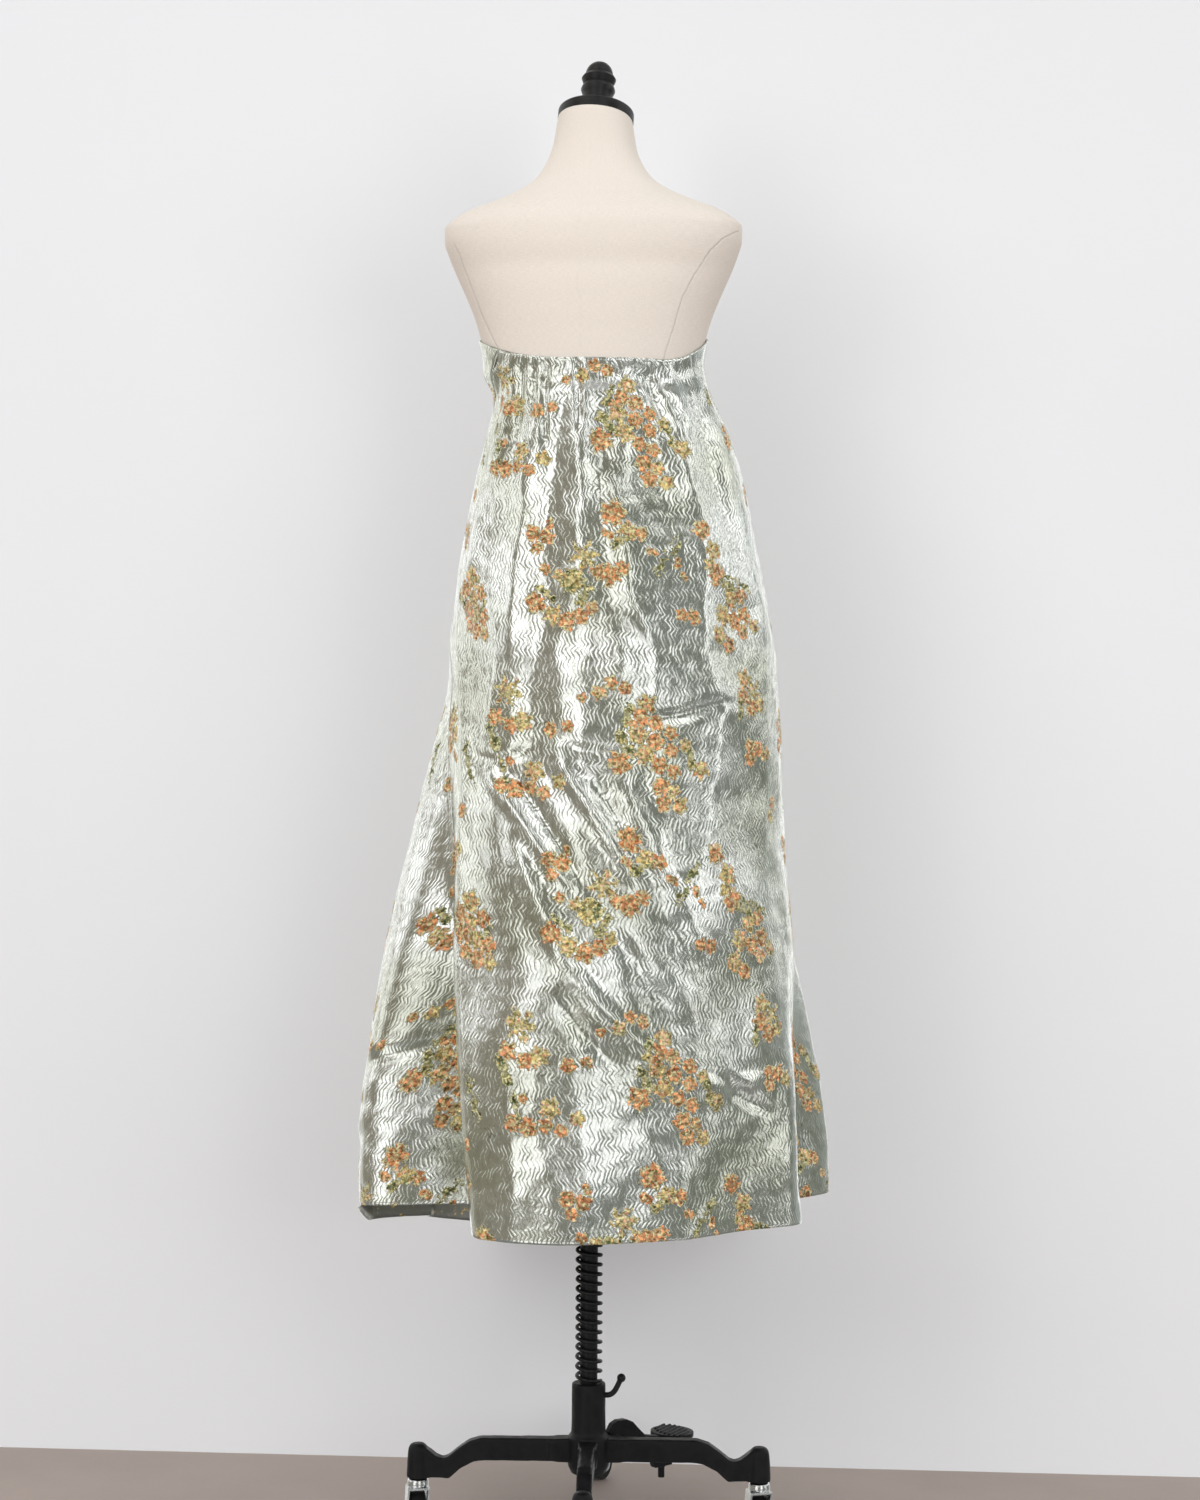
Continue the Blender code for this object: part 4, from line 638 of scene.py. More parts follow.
# One repeat of the scattered flowers, charted: across and down in mm, kind, radius in mm, turn.
MOTIFS = (
    # the tall spray right of the middle
    (42, 62, "blossom", 11, 10), (60, 70, "blossom", 10, 40), (36, 84, "gilt", 12, 0),
    (58, 92, "blossom", 11, 70), (80, 82, "blossom", 9, 20), (78, 104, "peach", 9, 50),
    (44, 108, "gilt", 13, 30), (98, 96, "gilt", 8, 60), (62, 122, "blossom", 10, 15),
    (80, 130, "blossom", 9, 80), (66, 148, "blossom", 11, 35), (84, 154, "gilt", 9, 5),
    (72, 168, "blossom", 10, 55), (94, 172, "gilt", 10, 25), (20, 96, "leaf", 16, 60),
    (30, 70, "bud", 8, 20), (12, 118, "blossom", 14, 30), (118, 128, "gilt", 11, 12),
    (50, 46, "gilt", 11, 45), (26, 60, "leaf", 14, 110), (104, 112, "leaf", 15, 80),
    # the single line of buds that hang from it
    (8, 20, "blossom", 8, 0), (24, 26, "peach", 8, 40), (-8, 32, "gilt", 9, 30),
    (-30, 38, "peach", 6, 10),
    # upper left pair and its gold lily
    (-128, 30, "lily", 19, 15), (-108, 68, "gilt", 12, 45), (-124, 72, "blossom", 10, 0),
    (-146, 62, "blossom", 11, 30), (-72, 78, "blossom", 9, 20), (-50, 74, "peach", 7, 60),
    (-152, 84, "leaf", 18, 70),
    # rows of small blossoms under it
    (-130, 118, "blossom", 6, 0), (-144, 148, "blossom", 10, 10), (-126, 152, "blossom", 11, 50),
    (-98, 130, "gilt", 12, 20), (-104, 150, "blossom", 9, 75), (-86, 156, "peach", 8, 30),
    (-66, 142, "gilt", 9, 0), (-138, 132, "stem", 18, 80),
    # the second pair of blossoms, middle left
    (-84, 238, "blossom", 10, 25), (-66, 242, "blossom", 10, 60), (-80, 256, "peach", 8, 5),
    (-60, 226, "bud", 7, 80), (-70, 284, "blossom", 7, 30), (-52, 292, "gilt", 8, 10),
    # the orange bloom with its leaf
    (22, 214, "blossom", 15, 0), (40, 238, "gilt", 12, 40), (56, 240, "blossom", 9, 20),
    (34, 246, "leaf", 16, 150), (14, 240, "bud", 8, 30),
    # the gold lily and the round bloom beside it
    (-16, 268, "lily", 18, 50), (14, 292, "blossom", 13, 25), (30, 284, "blossom", 9, 65),
    (0, 288, "peach", 9, 40), (-34, 300, "round", 15, 0), (-20, 318, "leaf", 15, 120),
    # the arc of blossoms under them
    (-84, 326, "blossom", 13, 45), (-62, 342, "gilt", 12, 20), (-44, 350, "blossom", 12, 0),
    (-26, 344, "blossom", 10, 50), (-12, 334, "gilt", 9, 15), (-70, 316, "leaf", 14, 40),
    # small buds between
    (70, 262, "bud", 8, 20), (104, 276, "bud", 7, 100), (112, 292, "bud", 6, 60),
    (104, 342, "blossom", 8, 0), (120, 344, "blossom", 9, 30), (92, 268, "stem", 26, 130),
    # the right hand trail
    (140, 232, "blossom", 12, 10), (156, 258, "gilt", 13, 30), (150, 276, "gilt", 9, 0),
    (162, 290, "blossom", 14, 45), (178, 300, "leaf", 20, 30), (196, 296, "stem", 28, 20),
    (188, 318, "gilt", 12, 70), (206, 312, "blossom", 11, 15), (172, 340, "gilt", 13, 20),
    (192, 346, "blossom", 12, 55), (212, 338, "blossom", 11, 0), (206, 360, "peach", 9, 30),
    (160, 366, "gilt", 12, 10), (176, 378, "blossom", 10, 40), (228, 352, "gilt", 9, 25),
    # the spray at the outer right
    (202, 12, "gilt", 12, 0), (216, 28, "lily", 16, 20), (196, 34, "blossom", 11, 45),
    (212, 48, "blossom", 12, 5), (228, 44, "gilt", 11, 60), (188, 50, "leaf", 14, 100),
    (206, 96, "blossom", 8, 30), (222, 100, "blossom", 10, 10), (208, 112, "peach", 10, 55),
    (238, 108, "gilt", 9, 0),
    # the dense spray at the outer left
    (-196, 292, "gilt", 14, 0), (-216, 306, "blossom", 12, 30), (-198, 318, "gilt", 12, 60),
    (-178, 312, "blossom", 11, 10), (-212, 330, "blossom", 13, 45), (-190, 338, "gilt", 12, 20),
    (-172, 344, "blossom", 12, 0), (-206, 352, "blossom", 10, 70), (-188, 360, "peach", 11, 35),
    (-168, 364, "gilt", 9, 15), (-228, 318, "leaf", 16, 50), (-176, 330, "leaf", 12, 140),
    (-240, 222, "blossom", 10, 20), (-224, 228, "gilt", 10, 0), (-232, 244, "blossom", 9, 50),
    (-214, 180, "bud", 8, 90), (-262, 70, "blossom", 11, 0), (-246, 84, "gilt", 12, 40),
    (-264, 96, "blossom", 10, 20), (-250, 60, "lily", 16, 10), (-244, 112, "bud", 8, 45),
    (-200, 120, "stem", 24, 75), (270, 170, "blossom", 9, 0), (262, 186, "gilt", 9, 30),
)
FLOWER_PUFF = 0.0006


def distance_to_path(path, x, y):
    """The distance to a path of points, signed by its side, and how far along it from 0 to 1."""
    best = np.full(x.shape, 1e9)
    signed = np.zeros(x.shape)
    along = np.zeros(x.shape)
    lengths = [math.dist(a, b) for a, b in zip(path[:-1], path[1:])]
    done = 0.0
    for (ax, ay), (bx, by), length in zip(path[:-1], path[1:], lengths):
        ux, uy = (bx - ax) / length, (by - ay) / length
        t = np.clip((x - ax) * ux + (y - ay) * uy, 0.0, length)
        dx, dy = x - (ax + t * ux), y - (ay + t * uy)
        d = np.hypot(dx, dy)
        near = d < best
        best = np.where(near, d, best)
        signed = np.where(near, np.where(ux * dy - uy * dx > 0.0, d, -d), signed)
        along = np.where(near, (done + t) / sum(lengths), along)
        done += length
    return signed, along


def crease_depth(creases, x, y):
    """How far the listed creases move the cloth out here."""
    depth = np.zeros(x.shape)
    for path, out, width, lean in creases:
        d, along = distance_to_path(path, x, y)
        s = d / width
        fade = np.clip(4.0 * along, 0.0, 1.0) * np.clip(3.0 * (1.0 - along), 0.0, 1.0)
        if path[0][1] > GATHER_CREASE_Z:
            fade = np.clip(3.0 * (1.0 - along), 0.0, 1.0)
        depth += out * (1.0 - abs(lean) * 0.5) * np.exp(-s * s) * fade
        depth += abs(out) * lean * 1.2 * s * np.exp(-s * s) * fade
    return depth


def pane_depth(panes, points, angle, height):
    """How far the flat panes between their fold lines move the cloth out."""
    x, y = points[..., 0], points[..., 1]
    a = np.radians(angle)
    heights = [row[0] for row in panes]
    share = np.interp(height, heights, [row[3] for row in panes])
    index = np.arange(x.shape[1], dtype=float)
    ends = []
    for i in range(len(panes[0][1])):
        line = np.interp(height, heights, [row[1][i] for row in panes]) / 1e3
        line += PANE_LINE_SWAY * np.sin(80.0 * height + 2.1 * i)
        out = np.interp(height[:, 0], heights, [row[2][i] for row in panes]) / 1e4
        cross = np.empty(len(x))
        for row in range(len(x)):
            low, high = np.argmin(x[row]), np.argmax(x[row]) + 1
            cross[row] = np.interp(0.0, (x - line)[row, low:high], index[low:high])
        qx = np.array([np.interp(c, index, r) for c, r in zip(cross, x)])
        qy = np.array([np.interp(c, index, r) for c, r in zip(cross, y)])
        ends.append((cross[:, None], qx[:, None], qy[:, None], out[:, None]))
    depth = np.zeros(x.shape)
    for (ca, ax, ay, ha), (cb, bx, by, hb) in zip(ends[:-1], ends[1:]):
        span = np.maximum(cb - ca, 1e-6)
        t = (index[None, :] - ca) / span
        length = np.maximum(np.hypot(bx - ax, by - ay), 1e-6)
        mx, my = (by - ay) / length, -(bx - ax) / length
        off = (x - ax) * mx + (y - ay) * my
        lean = np.maximum(np.sin(a) * mx - np.cos(a) * my, 0.35)
        moved = (ha + (hb - ha) * t - share * off) / lean
        depth = np.where((t >= 0.0) & (t < 1.0), moved, depth)
    for (cross, _, _, out), side in ((ends[0], -1.0), (ends[-1], 1.0)):
        past = side * (index[None, :] - cross)
        depth = np.where(past >= 0.0, out * (1.0 - ease(past / PANE_EDGE_COLUMNS)), depth)
    padded = np.pad(depth, ((0, 0), (2, 2)), mode="edge")
    outer, middle = padded[:, :-4] + padded[:, 4:], padded[:, 1:-3] + padded[:, 3:-1]
    return (outer + 2.0 * middle + 3.0 * padded[:, 2:-2]) / 9.0


def pleat_depth(angle, height):
    """The uneven pleats of the gathered top of the back: round ridges, sharp valleys."""
    top = top_height(angle)
    left, right = side_seams(top)
    share = np.clip((angle - left) / (right - left), 0.0, 1.0)
    valleys = np.array(GATHER_VALLEYS)
    ridge = np.clip(np.searchsorted(valleys, share) - 1, 0, len(GATHER_HEIGHTS) - 1)
    t = (share - valleys[ridge]) / (valleys[ridge + 1] - valleys[ridge])
    high = np.array(GATHER_HEIGHTS)[ridge] / 6.0e4
    reach = np.array(GATHER_REACHES)[ridge] / 1e3
    return high * (4.0 * t * (1.0 - t)) ** 0.7 * (1.0 - ease((top - height) / reach))


def crumple(x, y):
    """The slight irregular waviness of a stiff cloth, from a few crossing waves."""
    wave = np.sin(38.0 * x + 11.0 * np.sin(5.1 * y + 1.0)) * np.sin(17.0 * y + 3.0 * np.sin(9.0 * x))
    small = np.sin(95.0 * x + 9.0 * np.sin(13.0 * y)) * np.sin(52.0 * y + 4.0 * np.cos(21.0 * x) + 2.0)
    return 0.0012 * wave + 0.0004 * small


def motif_table():
    """The repeat's motifs as arrays: place, radius, turn, petals, depth, point and tone."""
    rows = []
    for across, down, kind, radius, turn in MOTIFS:
        size = MOTIF_SCALE * radius / 1000.0
        rows.append((across / 1000.0, down / 1000.0, size, math.radians(turn), *MOTIF_KINDS[kind]))
    return np.array(rows)


def nearest_motif(u, v):
    """For each place: how far out it is, 1 at the petals' tips, its best motif and that motif's centre."""
    best = np.full(u.shape, 9.0)
    which = np.zeros(u.shape, int)
    centre_u, centre_v = np.zeros(u.shape), np.zeros(u.shape)
    for number, (mu, mv, radius, turn, petals, gap, point, _) in enumerate(motif_table()):
        du = (u - mu + REPEAT_WIDTH / 2.0) % REPEAT_WIDTH - REPEAT_WIDTH / 2.0
        dv = (v - mv + REPEAT_HEIGHT / 2.0) % REPEAT_HEIGHT - REPEAT_HEIGHT / 2.0
        angle = np.arctan2(dv, du) - turn
        edge = (1.0 - gap) + gap * np.abs(np.cos(0.5 * petals * angle)) ** point
        out = np.hypot(du, dv) / radius / (0.25 + 0.75 * edge)
        near = out < best
        best = np.where(near, out, best)
        which = np.where(near, number, which)
        centre_u = np.where(near, u - du, centre_u)
        centre_v = np.where(near, v - dv, centre_v)
    return best, which, centre_u, centre_v


def flower_relief(u, v):
    """Flowers stand a little proud of the ground, as their floats pull the cloth up."""
    out, _, _, _ = nearest_motif(u, v)
    return FLOWER_PUFF * (1.0 - ease((out - 0.55) / 0.55))


# ---------------- meshes
def stands_for(obj, node, body, finish=None):
    """Puts a piece in a CAD node's place, on its body and in its material slot."""
    if finish is not None:
        obj.data.materials.append(finish)
    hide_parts(node)
    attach(obj, body)


def new_object(name, mesh):
    """A piece of this mesh, at the origin, with its finish to come."""
    obj = bpy.data.objects.new(name, mesh)
    bpy.context.scene.collection.objects.link(obj)
    return obj


def grid_mesh(name, grid, ring=False, caps=False):
    """A mesh of quads through a grid of points, its rows running down and its columns round."""
    rows, columns = grid.shape[:2]
    index = np.arange(rows * columns).reshape(rows, columns)
    after = np.roll(index, -1, axis=1) if ring else index[:, 1:]
    before = index if ring else index[:, :-1]
    quads = np.stack([before[:-1], before[1:], after[1:], after[:-1]], axis=-1).reshape(-1, 4)
    faces = quads.tolist()
    if caps:
        faces += [index[0].tolist(), index[-1][::-1].tolist()]
    mesh = bpy.data.meshes.new(name)
    mesh.from_pydata(grid.reshape(-1, 3), [], faces)
    mesh.shade_smooth()
    return mesh


def turned_mesh(name, profile, sides=96, matrix=None, sharp=32.0):
    """A solid of revolution about its own Z: (radius, height) points down its outside, ends closed."""
    angles = np.arange(sides) * 2.0 * math.pi / sides
    bm = bmesh.new()
    rings = []
    for radius, height in profile:
        if radius < 1e-6:
            rings.append([bm.verts.new((0.0, 0.0, height))])
            continue
        rings.append([bm.verts.new((radius * math.cos(a), radius * math.sin(a), height)) for a in angles])
    for upper, lower in zip(rings[:-1], rings[1:]):
        for i in range(sides):
            j = (i + 1) % sides
            corners = [upper[i % len(upper)], lower[i % len(lower)]]
            corners += [lower[j % len(lower)], upper[j % len(upper)]]
            bm.faces.new(list(dict.fromkeys(corners)))
    for ring, turn in ((rings[0], 1), (rings[-1], -1)):
        if len(ring) > 1:
            bm.faces.new(ring[::turn])
    return bmesh_to(bm, name, matrix, sharp)


def bmesh_to(bm, name, matrix=None, sharp=32.0):
    """Turns a bmesh into a mesh with smooth faces, sharp only where they meet at more than the angle."""
    if matrix is not None:
        bmesh.ops.transform(bm, matrix=matrix, verts=bm.verts)
    bmesh.ops.recalc_face_normals(bm, faces=bm.faces)
    mesh = bpy.data.meshes.new(name)
    bm.to_mesh(mesh)
    bm.free()
    mesh.shade_smooth()
    mesh.set_sharp_from_angle(angle=math.radians(sharp))
    return mesh


def smooth_profile(points, steps=4):
    """More points on a soft curve through a profile's own points."""
    points = np.array(points, float)
    padded = np.concatenate([[2 * points[0] - points[1]], points, [2 * points[-1] - points[-2]]])
    made = []
    for a, b, c, d in zip(padded[:-3], padded[1:-2], padded[2:-1], padded[3:]):
        square, cube = 2 * a - 5 * b + 4 * c - d, 3 * b - a - 3 * c + d
        for t in np.arange(steps) / steps:
            made.append(0.5 * ((2 * b) + (c - a) * t + square * t**2 + cube * t**3))
    made.append(points[-1])
    return [tuple(p) for p in made]


def slab(bm, outline, thick, matrix):
    """Adds to bm a flat outline in its own XY, thickened half of thick to each side, then placed."""
    low = [bm.verts.new(matrix @ Vector((x, y, -thick / 2.0))) for x, y in outline]
    high = [bm.verts.new(matrix @ Vector((x, y, thick / 2.0))) for x, y in outline]
    bm.faces.new(low[::-1])
    bm.faces.new(high)
    for i in range(len(outline)):
        j = (i + 1) % len(outline)
        bm.faces.new((low[i], low[j], high[j], high[i]))


def drum(bm, radius, low, high, matrix, sides):
    """Adds to bm a closed drum from low to high on its own Z, then placed."""
    size = {"radius1": radius, "radius2": radius, "depth": high - low}
    made = bmesh.ops.create_cone(bm, cap_ends=True, segments=sides, **size)["verts"]
    bmesh.ops.translate(bm, verts=made, vec=(0.0, 0.0, (low + high) / 2.0))
    bmesh.ops.transform(bm, verts=made, matrix=matrix)


def turned(angle_deg):
    """Turns what points along +X to this angle round the pole."""
    return Matrix.Rotation(math.radians(angle_deg - 90.0), 4, "Z")


def upright(angle_deg):
    """Takes an outline's (distance from the pole, height) in XY to the plane at this angle."""
    return turned(angle_deg) @ STAND_UP


def joined_turned(bm, profile, sides, matrix=None):
    """Adds a turned solid to bm."""
    made = turned_mesh("part", profile, sides, matrix)
    bm.from_mesh(made)
    bpy.data.meshes.remove(made)


def with_modifiers(obj):
    """Works an object's modifiers into its mesh."""
    bpy.context.view_layer.update()
    graph = bpy.context.evaluated_depsgraph_get()
    made = bpy.data.meshes.new_from_object(obj.evaluated_get(graph))
    old = obj.data
    obj.modifiers.clear()
    obj.data = made
    bpy.data.meshes.remove(old)
    made.name = obj.name
    return obj


def cast_piece(name, bm, voxel, rounds):
    """One casting from overlapping solids: fused, then smoothed so that its inner corners are filleted."""
    mesh = bpy.data.meshes.new(name)
    bmesh.ops.recalc_face_normals(bm, faces=bm.faces)
    bm.to_mesh(mesh)
    bm.free()
    obj = new_object(name, mesh)
    fuse = obj.modifiers.new("Fuse", "REMESH")
    fuse.mode = "VOXEL"
    fuse.voxel_size = voxel
    soften = obj.modifiers.new("Soften", "SMOOTH")
    soften.factor, soften.iterations = 0.5, rounds
    with_modifiers(obj)
    obj.data.shade_smooth()
    return obj


# ---------------- finishes, built from nodes
class Nodes:
    """A node tree under construction: each method adds a node and most give back its output."""

    def __init__(self, tree):
        self.tree = tree
        tree.nodes.clear()

    def node(self, kind, inputs=None, **settings):
        made = self.tree.nodes.new(kind)
        for key, value in settings.items():
            setattr(made, key, value)
        for socket, value in (inputs or {}).items():
            self.feed(made.inputs[socket], value)
        return made

    def feed(self, socket, value):
        """Links a socket to another one's output, or sets its value."""
        if isinstance(value, bpy.types.NodeSocket):
            self.tree.links.new(value, socket)
        else:
            socket.default_value = value

    def math(self, operation, a, b=0.0, c=0.0):
        return self.node("ShaderNodeMath", {0: a, 1: b, 2: c}, operation=operation).outputs[0]

    def add(self, a, b):
        return self.math("ADD", a, b)

    def less(self, a, b):
        return self.math("SUBTRACT", a, b)

    def by(self, a, b):
        return self.math("MULTIPLY", a, b)

    def size(self, a):
        """A value without its sign."""
        return self.math("ABSOLUTE", a)

    def vector(self, operation, a, b=(0.0, 0.0, 0.0)):
        return self.node("ShaderNodeVectorMath", {0: a, 1: b}, operation=operation).outputs[0]

    def times(self, vector, share):
        """A vector or colour, scaled by a number."""
        return self.node("ShaderNodeVectorMath", {0: vector, 3: share}, operation="SCALE").outputs[0]

    def place(self):
        return self.node("ShaderNodeTexCoord").outputs["Object"]

    def uv(self, name):
        return self.node("ShaderNodeUVMap", uv_map=name).outputs[0]

    def attribute(self, name):
        return self.node("ShaderNodeAttribute", attribute_name=name).outputs["Fac"]

    def parts(self, vector):
        return self.node("ShaderNodeSeparateXYZ", {0: vector}).outputs

    def join(self, x, y, z=0.0):
        return self.node("ShaderNodeCombineXYZ", {0: x, 1: y, 2: z}).outputs[0]

    def scaled(self, vector, scale):
        return self.node("ShaderNodeMapping", {"Vector": vector, "Scale": scale}).outputs[0]

    def noise(self, vector, scale, detail=2.0, roughness=0.5):
        inputs = {"Vector": vector, "Scale": scale, "Detail": detail, "Roughness": roughness}
        return self.node("ShaderNodeTexNoise", inputs).outputs["Fac"]

    def cells(self, vector, scale, feature="F1", output="Distance"):
        inputs = {"Vector": vector, "Scale": scale}
        return self.node("ShaderNodeTexVoronoi", inputs, feature=feature).outputs[output]

    def span(self, value, low, high, to_low=0.0, to_high=1.0, smooth=True):
        inputs = {0: value, 1: low, 2: high, 3: to_low, 4: to_high}
        kind = "SMOOTHSTEP" if smooth else "LINEAR"
        return self.node("ShaderNodeMapRange", inputs, interpolation_type=kind).outputs[0]

    def blend(self, share, a, b, way="MIX"):
        """A colour blend of a to b."""
        made = self.node("ShaderNodeMix", data_type="RGBA", blend_type=way, clamp_factor=True)
        self.feed(made.inputs[0], share)
        for socket, value in ((6, a), (7, b)):
            self.feed(made.inputs[socket], (*value, 1.0) if isinstance(value, tuple) else value)
        return made.outputs[2]

    def ramp(self, value, *stops):
        """A colour ramp of (place, colour) stops."""
        made = self.node("ShaderNodeValToRGB", {0: value})
        band = made.color_ramp
        for place, colour in stops[2:]:
            band.elements.new(place)
        for element, (place, colour) in zip(band.elements, sorted(stops)):
            element.position = place
            element.color = (*colour, 1.0)
        return made.outputs[0]

    def bump(self, height, distance, normal=None, strength=1.0):
        inputs = {"Height": height, "Distance": distance, "Strength": strength}
        if normal is not None:
            inputs["Normal"] = normal
        return self.node("ShaderNodeBump", inputs).outputs[0]


class Finish(Nodes):
    """A material under construction."""

    def __init__(self, name):
        self.material = bpy.data.materials.new(name)
        self.material.use_nodes = True
        super().__init__(self.material.node_tree)

    def shader(self, **inputs):
        """The Principled shader that ends the material."""
        names = {key.replace("_", " ").title().replace("Ior", "IOR"): value for key, value in inputs.items()}
        for name, value in names.items():
            if isinstance(value, tuple) and len(value) == 3:
                names[name] = (*value, 1.0)
        made = self.node("ShaderNodeBsdfPrincipled", names)
        out = self.node("ShaderNodeOutputMaterial", {"Surface": made.outputs[0]})
        self.tree.nodes.active = out
        return self.material


def brocade_finish(name, colours, ripple_width, ripple_depth, reverse=False):
    """Crinkled metallic cloth: zigzag ripples, fine threads, and flowers from the piece's own maps."""
    f = Finish(name)
    cloth = f.uv("Cloth")
    u, v, _ = f.parts(cloth)
    # the zigzag ripples
    wander = f.by(f.less(f.noise(cloth, 34.0, 2.0), 0.5), 0.026)
    zig = f.math("PINGPONG", f.add(v, wander), RIPPLE_DROP / 2.0)
    zig = f.by(zig, 2.0 * RIPPLE_SWAY / RIPPLE_DROP * 2.0)
    drift = f.by(f.less(f.noise(cloth, 62.0, 2.0, 0.6), 0.5), 0.0066)
    across = f.add(f.add(u, zig), drift)
    wave = f.size(f.math("SINE", f.by(across, math.pi / ripple_width)))
    wave = f.math("POWER", wave, 0.60)
    patch = f.span(f.noise(f.scaled(cloth, (1.0, 0.55, 1.0)), 95.0, 1.0), 0.36, 0.60, 0.25, 1.0)
    small = f.noise(f.scaled(cloth, (1.0, 0.6, 1.0)), 330.0, 3.0, 0.6)
    ripple = f.add(f.by(wave, patch), f.by(small, 0.45))
    # warp and weft threads
    warp = f.math("SINE", f.by(u, 2.0 * math.pi / WARP_PITCH))
    weft = f.math("SINE", f.by(v, 2.0 * math.pi / WEFT_PITCH))
    threads = f.by(warp, weft)
    cloud = f.noise(cloth, 5.5, 3.0)
    fleck = f.noise(cloth, 950.0, 1.0)
    ground = f.blend(f.span(cloud, 0.35, 0.65), colours["silver"], colours["sage"])
    ground = f.blend(f.by(f.span(fleck, 0.50, 0.75), 0.25), ground, colours["shade"])
    lace = f.noise(cloth, 120.0, 4.0, 0.75)
    # painted shade: the ripples' valleys are darkened in the colour itself, on top of their bump
    painted_valley_shade = f.span(ripple, 0.22, 0.80, 0.22, 0.0)
    ground = f.blend(painted_valley_shade, ground, colours["shade"])
    vine = f.by(f.span(f.noise(cloth, 17.0, 1.0), 0.60, 0.70), f.span(lace, 0.53, 0.60))
    ground = f.blend(f.by(vine, 0.40), ground, colours["leaf"])
    if reverse:
        gold = f.span(f.noise(cloth, 85.0, 3.0, 0.7), 0.60, 0.66)
        colour = f.blend(gold, colours["reverse"], colours["gold"])
        normal = f.bump(ripple, ripple_depth, f.bump(threads, 0.000006))
        return f.shader(base_color=colour, metallic=0.80, roughness=0.38, normal=normal)
    # the flowers, drawn from how far out each place is from its own motif's centre
    swirl = f.node("ShaderNodeTexNoise", {"Vector": cloth, "Scale": 165.0, "Detail": 1.5}).outputs["Color"]
    swirl = f.times(f.vector("SUBTRACT", swirl, (0.5, 0.5, 0.5)), 0.95)
    x, y, _ = f.parts(f.vector("ADD", f.uv("Blossom"), swirl))
    radius = f.math("SQRT", f.add(f.by(x, x), f.by(y, y)))
    count, gap = f.attribute("petal_count"), f.attribute("petal_gap")
    point, tone = f.attribute("petal_point"), f.attribute("petal_tone")
    turn = f.math("ARCTAN2", y, x)
    ragged = f.by(f.less(f.noise(cloth, 270.0, 2.0, 0.6), 0.5), 0.85)
    out = f.add(radius, ragged)
    lobe = f.size(f.math("COSINE", f.by(f.by(turn, count), 0.5)))
    edge = f.math("MULTIPLY_ADD", f.math("POWER", lobe, point), gap, f.less(1.0, gap))
    inside = f.less(edge, out)
    petal = f.span(inside, -0.03, 0.05)
    rim = f.by(f.span(inside, -0.04, 0.02), f.span(inside, 0.20, 0.11))
    line = f.by(f.span(inside, -0.11, -0.06), f.span(inside, 0.01, -0.03))
    chip = f.cells(cloth, 235.0, "F1", "Color")
    seam = f.cells(cloth, 235.0, "DISTANCE_TO_EDGE")
    blot = f.noise(cloth, 135.0, 2.0)
    painted_glint = f.noise(cloth, 225.0, 1.0, 0.5)
    tone = f.add(tone, f.span(chip, 0.25, 0.75, -0.14, 0.30, smooth=False))
    flower = f.ramp(
        tone,
        (0.0, colours["orange"]),
        (0.34, colours["orange"]),
        (0.50, colours["peach"]),
        (0.58, colours["gold"]),
        (0.74, colours["gold"]),
        (1.0, colours["leaf"]),
    )
    # painted light and shade: each float's colour is scaled darker or brighter at random, for how its slant
    # would catch the light
    facet_painted_light = f.span(f.cells(cloth, 270.0, "F1", "Color"), 0.15, 0.85, 0.42, 1.58, smooth=False)
    flower = f.times(flower, facet_painted_light)
    # dark green thread lines along the floats' edges in patches, partly also painted shade in the gaps
    # between the floats
    dark_lines_and_shade = f.by(f.span(seam, 0.20, 0.05), f.span(blot, 0.40, 0.56))
    flower = f.blend(f.by(dark_lines_and_shade, 0.85), flower, colours["leaf"])
    flower = f.blend(f.by(rim, f.span(blot, 0.40, 0.55)), flower, colours["gold_thread_and_glint"])
    # painted highlight: glints of bright gold painted on in spots of noise, over the flowers
    flower = f.blend(f.by(f.span(painted_glint, 0.55, 0.64), 0.9), flower, colours["gold_thread_and_glint"])
    heart = f.span(out, 0.34, 0.18)
    flower = f.blend(f.by(heart, 0.35), flower, colours["gold_thread_and_glint"])
    between = f.by(f.span(lobe, 0.30, 0.12), f.span(out, 0.25, 0.45))
    flower = f.blend(f.by(between, 0.45), flower, colours["leaf"])
    colour = f.blend(petal, ground, flower)
    colour = f.blend(f.by(line, f.span(blot, 0.46, 0.56, 0.0, 0.7)), colour, colours["leaf"])
    # relief: petals stand up in small flat floats, each at its own slant
    shaken = f.vector("ADD", cloth, f.times(swirl, 0.0016))
    float_cell = f.node("ShaderNodeTexVoronoi", {"Vector": shaken, "Scale": 230.0}, feature="F1")
    from_middle = f.vector("SUBTRACT", shaken, float_cell.outputs["Position"])
    slant = f.vector("SUBTRACT", float_cell.outputs["Color"], (0.5, 0.5, 0.5))
    crackle = f.node("ShaderNodeVectorMath", {0: from_middle, 1: slant}, operation="DOT_PRODUCT")
    crackle = f.by(crackle.outputs["Value"], 2.2 / ripple_depth)
    puff = f.by(f.span(inside, -0.02, 0.22), 0.9)
    veins = f.size(f.math("SINE", f.by(f.by(turn, count), 1.5)))
    raised = f.add(f.by(puff, 2.4), f.by(veins, 0.5))
    float_relief = f.by(f.add(crackle, raised), petal)
    ground_share = f.less(1.0, f.by(petal, 0.8))
    height = f.add(f.by(ripple, ground_share), float_relief)
    normal = f.bump(height, ripple_depth, f.bump(threads, 0.000005))
    metallic = f.less(0.97, f.by(petal, 0.72))
    rough = f.span(small, 0.35, 0.65, 0.08, 0.17)
    rough = f.add(rough, f.by(petal, 0.10))
    return f.shader(base_color=colour, metallic=metallic, roughness=rough, normal=normal)


